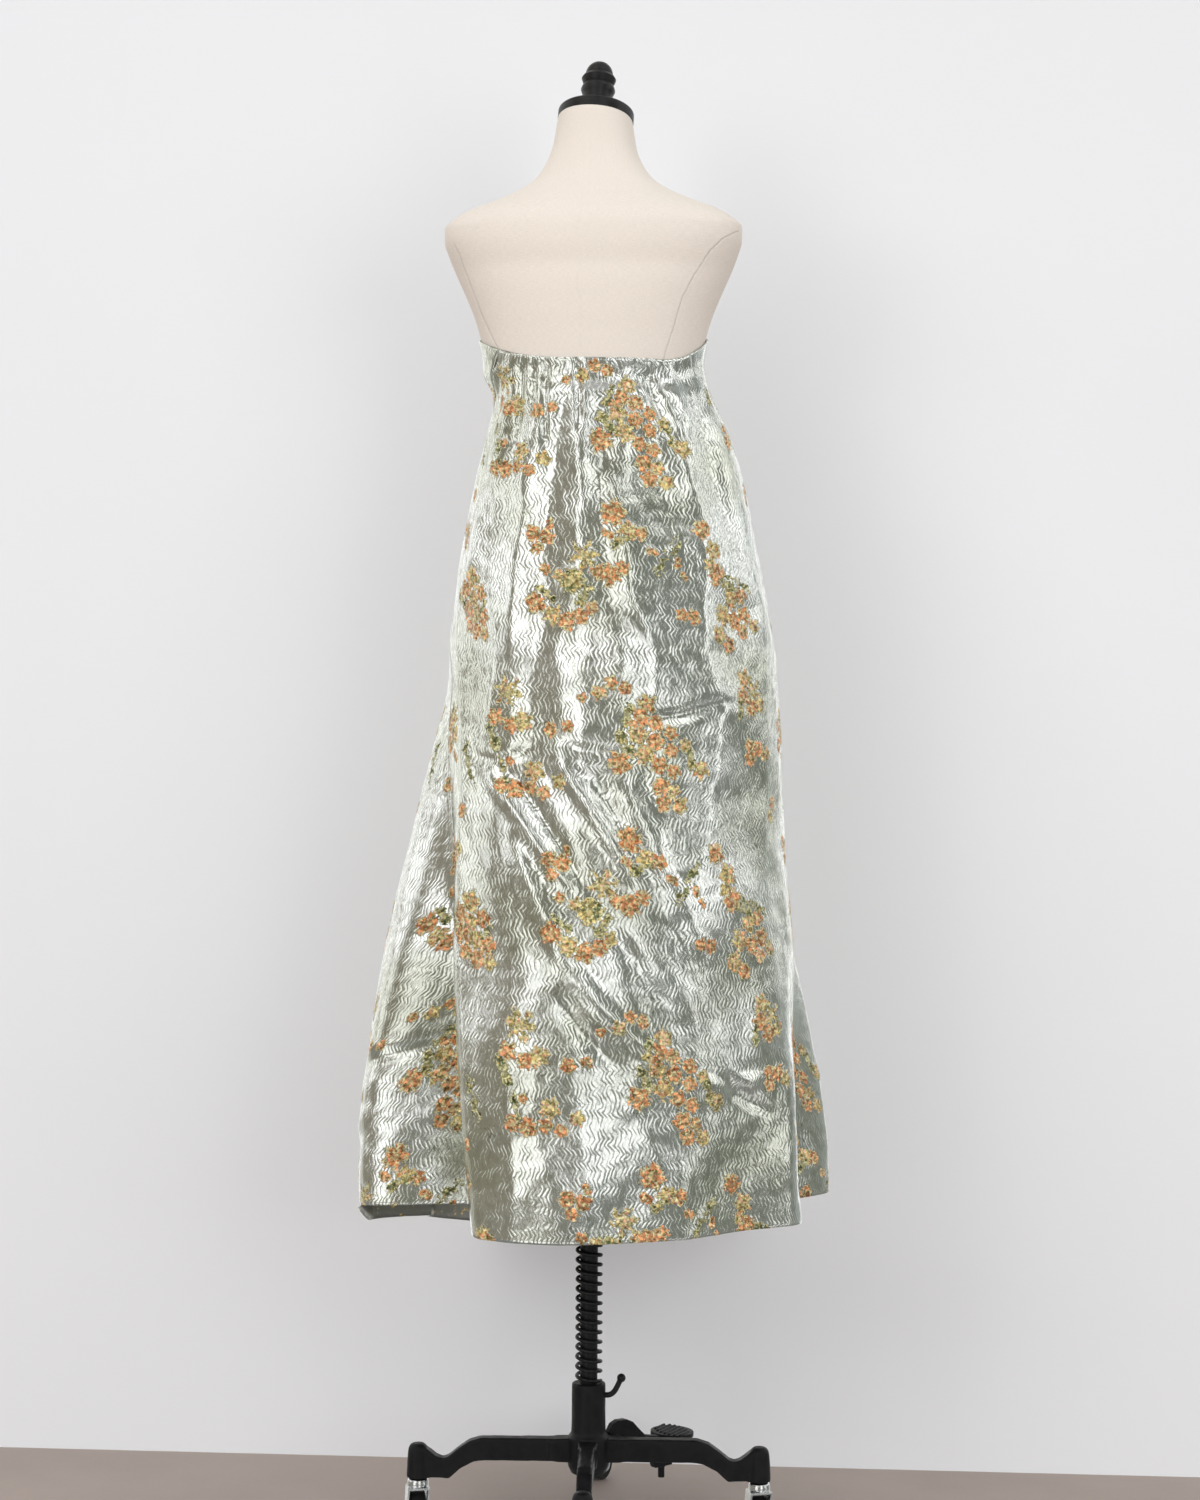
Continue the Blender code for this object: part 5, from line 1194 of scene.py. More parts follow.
def linen_finish(name, colour):
    """Plain-woven natural linen, with slubs along both threads."""
    f = Finish(name)
    place = f.place()
    x, y, z = f.parts(place)
    round_form = f.by(f.math("ARCTAN2", x, y), 0.15)
    flat = f.join(round_form, z)
    weft = f.noise(f.scaled(flat, (130.0, 1500.0, 1.0)), 1.0, 2.0)
    warp = f.noise(f.scaled(flat, (1500.0, 130.0, 1.0)), 1.0, 2.0)
    weave = f.add(f.by(weft, 0.6), f.by(warp, 0.4))
    cloud = f.noise(place, 9.0, 3.0)
    dark = tuple(c * 0.93 for c in colour)
    light = tuple(min(1.0, c * 1.03) for c in colour)
    shade = f.blend(f.span(weave, 0.36, 0.64), dark, light)
    shade = f.blend(f.by(f.span(cloud, 0.4, 0.7), 0.10), shade, tuple(c * 0.88 for c in colour))
    off = f.size(f.attribute("seam_distance"))
    swell = f.span(off, 0.0052, 0.0028, 0.0, 0.35)
    stitch = f.add(f.by(f.span(off, 0.0014, 0.0002), -1.0), swell)
    shade = f.blend(f.span(off, 0.0013, 0.0003, 0.0, 0.27), shade, tuple(c * 0.55 for c in colour))
    normal = f.bump(stitch, 0.0006, f.bump(weave, 0.00018))
    return f.shader(base_color=shade, roughness=0.92, sheen_weight=0.15, sheen_roughness=0.5, normal=normal)


def black_finish(name, colour, roughness, grain=55.0, relief=0.0002, gloss=0.22):
    """Black paint or lacquer: slight mottling, soft relief and worn, less even gloss."""
    f = Finish(name)
    place = f.place()
    mottle = f.noise(place, grain, 4.0, 0.6)
    fine = f.noise(place, grain * 14.0, 2.0)
    shade = f.blend(f.span(mottle, 0.35, 0.7), colour, tuple(c * 1.5 + 0.001 for c in colour))
    rough = f.span(mottle, 0.3, 0.7, roughness - 0.05, roughness + 0.10)
    rough = f.add(rough, f.by(fine, 0.04))
    normal = f.bump(f.add(mottle, f.by(fine, 0.25)), relief)
    return f.shader(base_color=shade, roughness=rough, specular_ior_level=gloss, normal=normal)


def chrome_finish(name, colour):
    """Bright plated steel with faint scuffs."""
    f = Finish(name)
    place = f.place()
    scuff = f.noise(f.scaled(place, (1.0, 1.0, 6.0)), 240.0, 4.0, 0.7)
    shade = f.blend(f.span(scuff, 0.4, 0.75), colour, tuple(c * 0.72 for c in colour))
    rough = f.span(scuff, 0.3, 0.75, 0.10, 0.30)
    return f.shader(base_color=shade, metallic=1.0, roughness=rough, normal=f.bump(scuff, 0.00006))


# ---------------- sizes and colours a user may change
def length(name, description, default):
    words = {"name": name, "description": description}
    return FloatProperty(**words, default=default, unit="LENGTH", precision=4)


def tint(name, description, default):
    words = {"name": name, "description": description}
    return FloatVectorProperty(**words, default=default, subtype="COLOR", min=0.0, max=1.0)


class ClothSettings(bpy.types.PropertyGroup):
    """The brocade and the dress cut from it."""

    ripple_width: length("Ripple Width", "From one crinkle of the brocade to the next", 0.0057)
    ripple_depth: length("Ripple Depth", "How far the crinkles stand out", 0.00026)
    crease_share: FloatProperty(
        name="Creases", description="Strength of the creases", default=1.0, subtype="FACTOR"
    )
    silver: tint("Silver", "The brocade's bright metal thread", (0.84, 0.86, 0.83))
    sage: tint("Sage", "The greener areas of the ground", (0.66, 0.68, 0.59))
    orange: tint("Orange", "The blossoms", (0.95, 0.39, 0.17))
    gold: tint("Gold", "The blossoms' outlines and the lilies", (0.94, 0.70, 0.27))
    leaf: tint("Leaf", "The leaves and stems", (0.17, 0.20, 0.08))


class FormSettings(bpy.types.PropertyGroup):
    """The limbless dress form."""

    linen: tint("Linen", "The cover of the torso", (0.88, 0.80, 0.73))
    seam_width: length("Seam Width", "Width of the cover's seams", 0.0016)
    lacquer: tint("Lacquer", "The turned neck cap and finial", (0.007, 0.0065, 0.007))


class StandSettings(bpy.types.PropertyGroup):
    """The iron stand, its spring, pedal and casters."""

    iron: tint("Iron", "The painted castings", (0.006, 0.006, 0.007))
    chrome: tint("Chrome", "The casters' forks", (0.78, 0.79, 0.80))
    rubber: tint("Rubber", "The casters' wheels", (0.008, 0.008, 0.008))
    wire_radius: length("Spring Wire", "Radius of the spring's wire", 0.0024)
    spring_pitch: length("Spring Pitch", "From one coil to the next", 0.0125)
    ribs: IntProperty(
        name="Pedal Ribs", description="Raised ribs on the pedal's tread", default=7, min=1, max=20
    )


class StageSettings(bpy.types.PropertyGroup):
    """The floor, the wall behind, the lights and the camera."""

    wall: tint("Wall", "The wall behind", (0.76, 0.77, 0.80))
    floor: tint("Floor", "The concrete floor", (0.35, 0.285, 0.260))
    distance: length("Camera Distance", "From the pole to the camera", 3.5)
    eye_height: length("Camera Height", "Height of the camera above the floor", 1.010)
    turn: FloatProperty(
        name="Camera Turn",
        description="Turn of the camera round the pole",
        default=math.radians(4.5),
        subtype="ANGLE",
    )
    lens: FloatProperty(
        name="Lens", description="Focal length of the camera in mm", default=64.6, min=20.0, max=200.0
    )


# ---------------- the pieces
class DressPiece:
    """One cut piece of the dress: the angles and heights of the grid for a fine wall between two side angles.
    """

    def __init__(self, sides, columns, rows, shares, gaps=(0.0, 0.0)):
        self.columns, self.rows, self.sides = columns, rows, sides
        hem_z = SIDE_SEAMS[-2][0]
        first, last = (float(a) for a in sides(np.array(hem_z)))
        angles = np.linspace(first, last, 1441)
        edge = at_pole(angles, hem_height(angles), garment_radius(angles, hem_height(angles)))
        run = np.concatenate([[0.0], np.cumsum(np.linalg.norm(np.diff(edge, axis=0), axis=1))])
        share = np.interp(np.linspace(0.0, run[-1], columns), run, angles)
        share = (share - angles[0]) / (angles[-1] - angles[0])
        down = np.linspace(shares[0], shares[1], rows)[:, None]
        height = np.full((rows, columns), hem_z)
        for _ in range(8):
            left, right = sides(height)
            angle = left + (right - left) * share
            height = top_height(angle) + (hem_height(angle) - top_height(angle)) * down
        height[0] -= gaps[0]
        height[-1] += gaps[1]
        self.angle, self.height = angle, height


def cut_half(height):
    """Half the seam's gap, as an angle."""
    return np.degrees(0.5 * SEAM_GAP / drape_radius(90.0, height))


def back_sides(height):
    """Angles of the back panel's two side edges."""
    left, right = side_seams(height)
    return left + cut_half(height), right - cut_half(height)


def front_sides(height):
    """Angles of the front pieces' two side edges."""
    left, right = side_seams(height)
    return right + cut_half(height), left + FULL_TURN - cut_half(height)


def grid_normals(points):
    """Unit normals of a grid of points, outward round the pole."""
    normal = np.cross(np.gradient(points, axis=1), -np.gradient(points, axis=0))
    return normal / np.maximum(np.linalg.norm(normal, axis=-1, keepdims=True), 1e-12)


def cloth_map(piece, points, front):
    """The cloth's own coordinates in metres: across from the panel's middle, and down from the top."""
    run = np.cumsum(np.linalg.norm(np.diff(points, axis=1, prepend=points[:, :1]), axis=-1), axis=1)
    middle = 180.0 if front else 0.0
    zero = np.array([np.interp(middle, a, r) for a, r in zip(piece.angle, run)])
    down = (PATTERN_TOP_Z - piece.height) * PATTERN_STRETCH
    return run - zero[:, None] - PATTERN_LEAN * down, down


def front_routes():
    """The front's creases with their angles as distances from its middle."""
    routes = []
    for path, *rest in FRONT_CREASES:
        routes.append((tuple((turn_between(a, 180.0) * METRES_A_DEGREE, z) for a, z in path), *rest))
    return routes


def creased_points(piece, front, share):
    """The outer face of a piece, with creases, pleats, crumples and the flowers' relief."""
    angle, height = piece.angle, piece.height
    radius = garment_radius(angle, height)
    a = np.radians(angle)
    if front:
        depth = crease_depth(front_routes(), turn_between(angle, 180.0) * METRES_A_DEGREE, height)
    else:
        depth = crease_depth(BACK_CREASES, radius * np.sin(a), height)
        depth += pleat_depth(angle, height)
        for panes in (UPPER_PANES, LOWER_PANES):
            depth += pane_depth(panes, at_pole(angle, height, radius), angle, height)
    closed = ease((top_height(angle) - height) / FLAT_AT_TOP)
    snug = fitted_radius(angle, height) - CLOTH_EASE
    radius = np.maximum(radius + share * depth, snug + CLEAR_OF_FORM)
    points = at_pole(angle, height, radius)
    u, v = cloth_map(piece, points, front)
    normals = grid_normals(points)
    seams = edge_fade(piece, FLAT_AT_SEAMS)
    lift = (crumple(u, v) * closed + flower_relief(u, v)) * seams
    room = radius - (snug + CLEAR_OF_FORM - 0.0001)
    lift = np.maximum(lift, -np.maximum(room, 0.0))
    return points + normals * lift[..., None], u, v


def edge_fade(piece, width):
    """1 inside the piece, 0 at its side seams."""
    first, last = piece.angle[:, :1], piece.angle[:, -1:]
    reach = np.radians(np.minimum(piece.angle - first, last - piece.angle)) * drape_radius(90.0, piece.height)
    return ease(reach / width)


def cloth_piece(name, piece, front, finish_face, finish_reverse, share):
    """A closed wall of cloth: a fine outer face, a coarser reverse, and the four edges between."""
    outer, u, v = creased_points(piece, front, share)
    normals = grid_normals(outer)
    rows, columns = outer.shape[:2]
    inner = (outer - CLOTH_THICK * normals)[::2, ::2]
    fine = np.arange(rows * columns).reshape(rows, columns)
    coarse = rows * columns + np.arange(inner.shape[0] * inner.shape[1]).reshape(inner.shape[:2])
    face = np.stack([fine[:-1, :-1], fine[1:, :-1], fine[1:, 1:], fine[:-1, 1:]], axis=-1)
    back = np.stack([coarse[:-1, :-1], coarse[:-1, 1:], coarse[1:, 1:], coarse[1:, :-1]], axis=-1)
    face, back = face.reshape(-1, 4), back.reshape(-1, 4)
    faces = face.tolist() + back.tolist()
    for line, under, flip in (
        (fine[0], coarse[0], False),
        (fine[-1], coarse[-1], True),
        (fine[:, 0], coarse[:, 0], True),
        (fine[:, -1], coarse[:, -1], False),
    ):
        for i in range(len(under) - 1):
            a, b, c, d, e = line[2 * i], line[2 * i + 1], line[2 * i + 2], under[i + 1], under[i]
            fan = [[a, b, e], [b, c, d], [b, d, e]]
            faces += [[int(k) for k in (t[::-1] if flip else t)] for t in fan]
    mesh = bpy.data.meshes.new(name)
    mesh.from_pydata(np.concatenate([outer.reshape(-1, 3), inner.reshape(-1, 3)]), [], faces)
    mesh.materials.append(finish_face)
    mesh.materials.append(finish_reverse)
    slots = np.zeros(len(faces), np.int32)
    slots[len(face):len(face) + len(back)] = 1
    mesh.polygons.foreach_set("material_index", slots)
    mesh.shade_smooth()
    mark_cloth(mesh, *(np.concatenate([w.ravel(), w[::2, ::2].ravel()]) for w in (u, v)))
    return new_object(name, mesh)


def mark_cloth(mesh, u, v):
    """Gives a cloth mesh its two maps and, on each face, what its nearest motif is like."""
    corners = np.empty(len(mesh.loops), np.int32)
    mesh.loops.foreach_get("vertex_index", corners)
    starts = np.empty(len(mesh.polygons), np.int32)
    totals = np.empty(len(mesh.polygons), np.int32)
    mesh.polygons.foreach_get("loop_start", starts)
    mesh.polygons.foreach_get("loop_total", totals)
    middle_u = np.add.reduceat(u[corners], starts) / totals
    middle_v = np.add.reduceat(v[corners], starts) / totals
    _, which, centre_u, centre_v = nearest_motif(middle_u, middle_v)
    table = motif_table()[which]
    owner = np.repeat(np.arange(len(totals)), totals)
    du, dv = u[corners] - centre_u[owner], v[corners] - centre_v[owner]
    turn, radius = table[owner, 3], table[owner, 2]
    x = (du * np.cos(turn) + dv * np.sin(turn)) / radius
    y = (-du * np.sin(turn) + dv * np.cos(turn)) / radius
    for title, a, b in (("Cloth", u[corners], v[corners]), ("Blossom", x, y)):
        layer = mesh.uv_layers.new(name=title)
        layer.data.foreach_set("uv", np.stack([a, b], axis=-1).ravel().astype(np.float32))
    for column, title in enumerate(("petal_count", "petal_gap", "petal_point", "petal_tone"), start=4):
        attribute = mesh.attributes.new(title, "FLOAT", "FACE")
        attribute.data.foreach_set("value", table[:, column].astype(np.float32))
    mesh.uv_layers["Cloth"].active_render = True


class DRESS_OT_cloth(bpy.types.Operator):
    """Make the dress's back panel, front bodice and front skirt in crinkled brocade"""

    bl_idname = "dress.cloth"
    bl_label = "Dress"

    def execute(self, context):
        settings = context.scene.dress_cloth
        names = ("silver", "sage", "orange", "gold", "leaf")
        colours = {name: tuple(getattr(settings, name)) for name in names}
        colours |= {"shade": FLECK_AND_VALLEY_SHADE, "peach": PEACH, "gold_thread_and_glint": GOLD_THREAD_AND_GLINT, "reverse": REVERSE}
        size = (settings.ripple_width, settings.ripple_depth)
        face = brocade_finish("metallic brocade", colours, *size)
        reverse = brocade_finish("brocade reverse", colours, *size, reverse=True)
        half = SEAM_GAP / 2.0
        made = {
            "back_panel": (DressPiece(back_sides, 281, 241, (0.0, 1.0)), False),
            "front_bodice": (DressPiece(front_sides, 201, 45, (0.0, WAIST_SHARE), (0.0, half)), True),
            "front_skirt": (DressPiece(front_sides, 261, 201, (WAIST_SHARE, 1.0), (half, 0.0)), True),
        }
        for node, (piece, front) in made.items():
            obj = cloth_piece(f"{node}_cloth", piece, front, face, reverse, settings.crease_share)
            stands_for(obj, node, "form")
        return {"FINISHED"}


def torso_rings(heights, sides):
    """Rings of the torso's cover at these heights, leaning towards the slope of the neck."""
    top = FORM[-1][0]
    angles = np.arange(sides) * FULL_TURN / sides
    rows = []
    for height in heights:
        ring = at_pole(angles, np.full(sides, height), form_radius(angles, height))
        lean = math.tan(NECK_TILT) * ring[:, 1] + math.tan(NECK_ROLL) * ring[:, 0]
        ring[:, 2] -= ease((height - NECK_TILT_FROM_Z) / (top - NECK_TILT_FROM_Z)) * lean
        ring[:, 1] += smooth_rows(FORM, 4, height)
        rows.append(ring)
    return np.array(rows)


def even_heights(count):
    """Heights down the torso, evenly spaced along its side, so that the shoulders get enough rows."""
    fine = np.linspace(FORM[-1][0], FORM[0][0], 2000)
    side = smooth_rows(FORM, 1, fine)
    run = np.concatenate([[0.0], np.cumsum(np.hypot(np.diff(fine), np.diff(side)))])
    return np.interp(np.linspace(0.0, run[-1], count), run, fine)


class DRESS_OT_form(bpy.types.Operator):
    """Make the linen-covered torso with its seams, the turned neck cap and the finial"""

    bl_idname = "dress.form"
    bl_label = "Dress Form"

    def execute(self, context):
        settings = context.scene.dress_form
        linen = linen_finish("natural linen", tuple(settings.linen))
        lacquer = black_finish("black lacquered wood", tuple(settings.lacquer), 0.36, grain=30.0, gloss=0.42)
        rings = torso_rings(even_heights(181), 180)
        seams = seam_distances(rings)
        press_seams(rings, settings.seam_width)
        mesh = grid_mesh("torso_cover", rings, ring=True, caps=True)
        seam = np.ones(len(mesh.vertices))
        seam[: rings.shape[0] * rings.shape[1]] = seams.ravel()
        mesh.attributes.new("seam_distance", "FLOAT", "POINT").data.foreach_set("value", seam)
        stands_for(new_object("torso_cover", mesh), "torso", "form", linen)
        top = FORM[-1][0]
        tilt = Matrix.Rotation(NECK_ROLL, 4, "Y") @ Matrix.Rotation(-NECK_TILT, 4, "X")
        neck = Matrix.Translation((0.0, FORM[-1][4], top)) @ tilt
        for name, node, profile in (
            ("neck_cap_turned", "neck_cap", CAP_PROFILE),
            ("finial_turned", "finial", FINIAL_SHAPE),
        ):
            piece = new_object(name, turned_mesh(name, profile, 96, neck, sharp=50.0))
            stands_for(piece, node, "form", lacquer)
        return {"FINISHED"}


def seam_distances(rings):
    """How far each place on the torso is from its nearest seam, with a sign for the side of it."""
    x, z = rings[..., 0], rings[..., 2]
    at_back = rings[..., 1] < smooth_rows(FORM, 4, np.clip(z, 1.05, 1.83))
    nearest = np.ones(x.shape)
    for behind, route, depth in FORM_SEAMS:
        if depth < SEAM_SHOWN_FROM:
            continue
        distance, along = distance_to_path(route, x, z)
        on_seam = (at_back == behind) & (along > 0.0) & (along < 1.0)
        distance = np.where(on_seam, distance, 1.0)
        nearest = np.where(np.abs(distance) < np.abs(nearest), distance, nearest)
    return nearest


def press_seams(rings, width):
    """Presses the cover's seams into the torso as narrow grooves, with a slight swell to each side."""
    for behind, route, depth in FORM_SEAMS:
        x, z = rings[..., 0], rings[..., 2]
        side = (rings[..., 1] < smooth_rows(FORM, 4, np.clip(z, 1.05, 1.83))) == behind
        distance, along = distance_to_path(route, x, z)
        t = np.abs(distance) / width
        press = -depth * np.exp(-t * t) + 0.45 * depth * np.exp(-(((t - 2.6) / 1.2) ** 2))
        move = np.where(side, press * ease(along * 30.0) * ease((1.0 - along) * 30.0), 0.0)
        centre = np.stack([0.0 * x, 0.0 * x, z], axis=-1)
        out = rings - centre
        out[..., 2] = 0.0
        out /= np.maximum(np.linalg.norm(out, axis=-1, keepdims=True), 1e-9)
        rings += out * move[..., None]


def spring_tree():
    """Geometry Nodes for a coil spring: a spiral swept by a round wire."""
    tree = bpy.data.node_groups.new("coil spring", "GeometryNodeTree")
    tree.interface.new_socket("Geometry", in_out="OUTPUT", socket_type="NodeSocketGeometry")
    inputs = {}
    for name, kind, value in (
        ("Turns", "NodeSocketFloat", 34.0),
        ("Coil Radius", "NodeSocketFloat", 0.0156),
        ("Wire Radius", "NodeSocketFloat", 0.0024),
        ("Height", "NodeSocketFloat", 0.43),
        ("Bottom", "NodeSocketFloat", 0.19),
        ("Finish", "NodeSocketMaterial", None),
    ):
        socket = tree.interface.new_socket(name, in_out="INPUT", socket_type=kind)
        if value is not None:
            socket.default_value = value
        inputs[name] = socket.identifier
    f = Nodes(tree)
    given = f.node("NodeGroupInput").outputs
    path = {"Resolution": 28, "Rotations": given["Turns"], "Height": given["Height"]}
    path |= {"Start Radius": given["Coil Radius"], "End Radius": given["Coil Radius"]}
    spiral = f.node("GeometryNodeCurveSpiral", path).outputs[0]
    ring = {"Resolution": 10, "Radius": given["Wire Radius"]}
    ring = f.node("GeometryNodeCurvePrimitiveCircle", ring).outputs[0]
    sweep = {"Fill Caps": True, "Curve": spiral, "Profile Curve": ring}
    sweep = f.node("GeometryNodeCurveToMesh", sweep).outputs[0]
    moved = {"Geometry": sweep, "Translation": f.join(0.0, 0.0, given["Bottom"])}
    moved = f.node("GeometryNodeTransform", moved).outputs[0]
    whole = f.node("GeometryNodeRealizeInstances", {0: moved}).outputs[0]
    whole = {"Geometry": whole, "Material": given["Finish"]}
    f.node("NodeGroupOutput", {0: f.node("GeometryNodeSetMaterial", whole).outputs[0]})
    return tree, inputs


def grown(name, tree, inputs, values):
    """Runs a Geometry Nodes tree with these values and keeps what it makes as a plain mesh."""
    obj = new_object(name, bpy.data.meshes.new(name))
    modifier = obj.modifiers.new("Grow", "NODES")
    modifier.node_group = tree
    for title, value in values.items():
        modifier[inputs[title]] = value
    return with_modifiers(obj)


class DRESS_OT_spring(bpy.types.Operator):
    """Make the coil spring between the hub and the form's sleeve"""

    bl_idname = "dress.spring"
    bl_label = "Coil Spring"

    def execute(self, context):
        settings = context.scene.dress_stand
        steel = black_finish("black spring steel", SPRING_STEEL, 0.32, grain=120.0, relief=0.0001, gloss=0.35)
        low, high = SPRING_LOW_Z, SPRING_HIGH_Z
        turns = round((high - low) / settings.spring_pitch)
        tree, inputs = spring_tree()
        values = {
            "Turns": float(turns),
            "Coil Radius": SPRING_RADIUS,
            "Wire Radius": settings.wire_radius,
            "Height": high - low,
            "Bottom": low,
            "Finish": steel,
        }
        spring = grown("coil_spring", tree, inputs, values)
        spring.data.shade_smooth()
        stands_for(spring, "spring", "stand")
        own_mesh(spring)
        return {"FINISHED"}


def stand_colours(context):
    """The colours of the castings, the plating and the wheels."""
    settings = context.scene.dress_stand
    return tuple(settings.iron), tuple(settings.chrome), tuple(settings.rubber)


class DRESS_OT_stand(bpy.types.Operator):
    """Make the cast hub, the four cast legs, the pole and the form's sleeve"""

    bl_idname = "dress.stand"
    bl_label = "Iron Stand"

    def execute(self, context):
        iron, _, _ = stand_colours(context)
        casting = black_finish("black painted iron", iron, 0.42, grain=70.0, relief=0.0006)
        steel = black_finish("black steel tube", TUBE_STEEL, 0.34, grain=160.0, relief=0.00008, gloss=0.30)
        bm = bmesh.new()
        joined_turned(bm, smooth_profile(HUB_SHAPE, 4), 64)
        for side in (-1.0, 1.0):
            middle = side * (EAR_GAP + EAR_THICK) / 2.0
            place = turned(PEDAL_ANGLE) @ Matrix.Translation((0.0, middle, 0.0)) @ STAND_UP
            slab(bm, EAR_OUTLINE, EAR_THICK, place)
        stands_for(cast_piece("hub_casting", bm, 0.0011, 3), "hub", "stand", casting)
        for number, angle in enumerate(LEG_ANGLES, start=1):
            bm = bmesh.new()
            slab(bm, LEG_OUTLINE, LEG_WIDTH - LEG_TRIM, upright(angle))
            slab(bm, LEG_WEB, WEB_WIDTH, upright(angle))
            centre = turned(angle) @ Matrix.Translation((BOSS_REACH, 0.0, 0.0))
            joined_turned(bm, smooth_profile(BOSS_PROFILE, 3), 40, centre)
            leg = cast_piece(f"leg_casting_{number}", bm, 0.0019, 6)
            stands_for(leg, f"leg_{number}", "stand", casting)
        pole = new_object("pole_tube", turned_mesh("pole_tube", POLE_PROFILE, 64))
        stands_for(pole, "pole", "stand", steel)
        sleeve = new_object("sleeve_tube", turned_mesh("sleeve_tube", SLEEVE_PROFILE, 64, sharp=40.0))
        stands_for(sleeve, "form_sleeve", "form", steel)
        return {"FINISHED"}


class DRESS_OT_lever(bpy.types.Operator):
    """Make the bent locking lever with its ball end"""

    bl_idname = "dress.lever"
    bl_label = "Locking Lever"

    def execute(self, context):
        steel = black_finish("lever steel", TUBE_STEEL, 0.30, grain=140.0, relief=0.0001, gloss=0.35)
        curve = bpy.data.curves.new("lock_rod", "CURVE")
        curve.dimensions = "3D"
        curve.bevel_depth = LEVER_ROD
        curve.bevel_resolution = 6
        curve.use_fill_caps = True
        spline = curve.splines.new("POLY")
        route = smooth_profile(LEVER_ROUTE, 5)
        spline.points.add(len(route) - 1)
        for point, (reach, rise) in zip(spline.points, route):
            point.co = (reach, 0.0, LEVER_Z + rise, 1.0)
        helper = bpy.data.objects.new("lock_rod", curve)
        context.scene.collection.objects.link(helper)
        context.view_layer.update()
        rod = bpy.data.meshes.new_from_object(helper.evaluated_get(context.evaluated_depsgraph_get()))
        bm = bmesh.new()
        bm.from_mesh(rod)
        bmesh.ops.remove_doubles(bm, verts=bm.verts, dist=1e-6)
        bpy.data.objects.remove(helper, do_unlink=True)
        bpy.data.meshes.remove(rod)
        end = (LEVER_ROUTE[-1][0], 0.0, LEVER_Z + LEVER_ROUTE[-1][1])
        ball = {"u_segments": 32, "v_segments": 20, "radius": LEVER_BALL}
        bmesh.ops.create_uvsphere(bm, **ball, matrix=Matrix.Translation(end))
        lever = new_object("lock_lever_rod", bmesh_to(bm, "lock_lever_rod", sharp=60.0))
        stands_for(lever, "lock_lever", "lever", steel)
        return {"FINISHED"}


class DRESS_OT_pedal(bpy.types.Operator):
    """Make the foot pedal with its ribbed oval tread"""

    bl_idname = "dress.pedal"
    bl_label = "Foot Pedal"

    def execute(self, context):
        iron, _, _ = stand_colours(context)
        casting = black_finish("pedal iron", iron, 0.40, grain=80.0, relief=0.0005)
        turn = turned(PEDAL_ANGLE)
        size = PEDAL_PLATE
        bm = bmesh.new()
        slab(bm, PEDAL_ARM, PEDAL_ARM_WIDTH - PEDAL_TRIM, upright(PEDAL_ANGLE))
        before = set(bm.verts)
        drum(bm, 1.0, -0.5, 0.5, Matrix.Identity(4), sides=72)
        tread = [v for v in bm.verts if v not in before]
        bmesh.ops.scale(bm, verts=tread, vec=(size["half_depth"], size["half_length"], size["thick"]))
        bmesh.ops.translate(bm, verts=tread, vec=(size["reach"], 0.0, size["top_z"] - size["thick"] / 2.0))
        bmesh.ops.transform(bm, verts=tread, matrix=turn)
        ribs = context.scene.dress_stand.ribs
        for number in range(ribs):
            across = (number - (ribs - 1) / 2.0) * 2.0 * size["half_length"] / (ribs + 0.6)
            reach = RIB_REACH * math.sqrt(1.0 - (across / size["half_length"]) ** 2) * size["half_depth"]
            place = turn @ Matrix.Translation((size["reach"], across, size["top_z"] - RIB_SINK))
            half = RIB_HALF_WIDTH
            corners = ((-reach, -half), (reach, -half), (reach, half), (-reach, half))
            slab(bm, corners, RIB_THICK, place @ Matrix.Rotation(RIB_LEAN, 4, "Z"))
        bolt = PEDAL_BOLT
        place = turn @ Matrix.Translation((bolt["reach"], 0.0, 0.0))
        drum(bm, bolt["radius"], bolt["bottom_z"], bolt["top_z"], place, sides=24)
        pedal = cast_piece("foot_pedal_casting", bm, 0.0009, 2)
        stands_for(pedal, "foot_pedal", "pedal", casting)
        return {"FINISHED"}


def caster_place(number):
    """A caster's frame: its swivel axis at the origin, trailing to +X."""
    a = math.radians(LEG_ANGLES[number - 1])
    swivel = Matrix.Translation((BOSS_REACH * math.sin(a), -BOSS_REACH * math.cos(a), 0.0))
    return swivel @ Matrix.Rotation(math.radians(CASTER_TURNS[number - 1] - 90.0), 4, "Z")


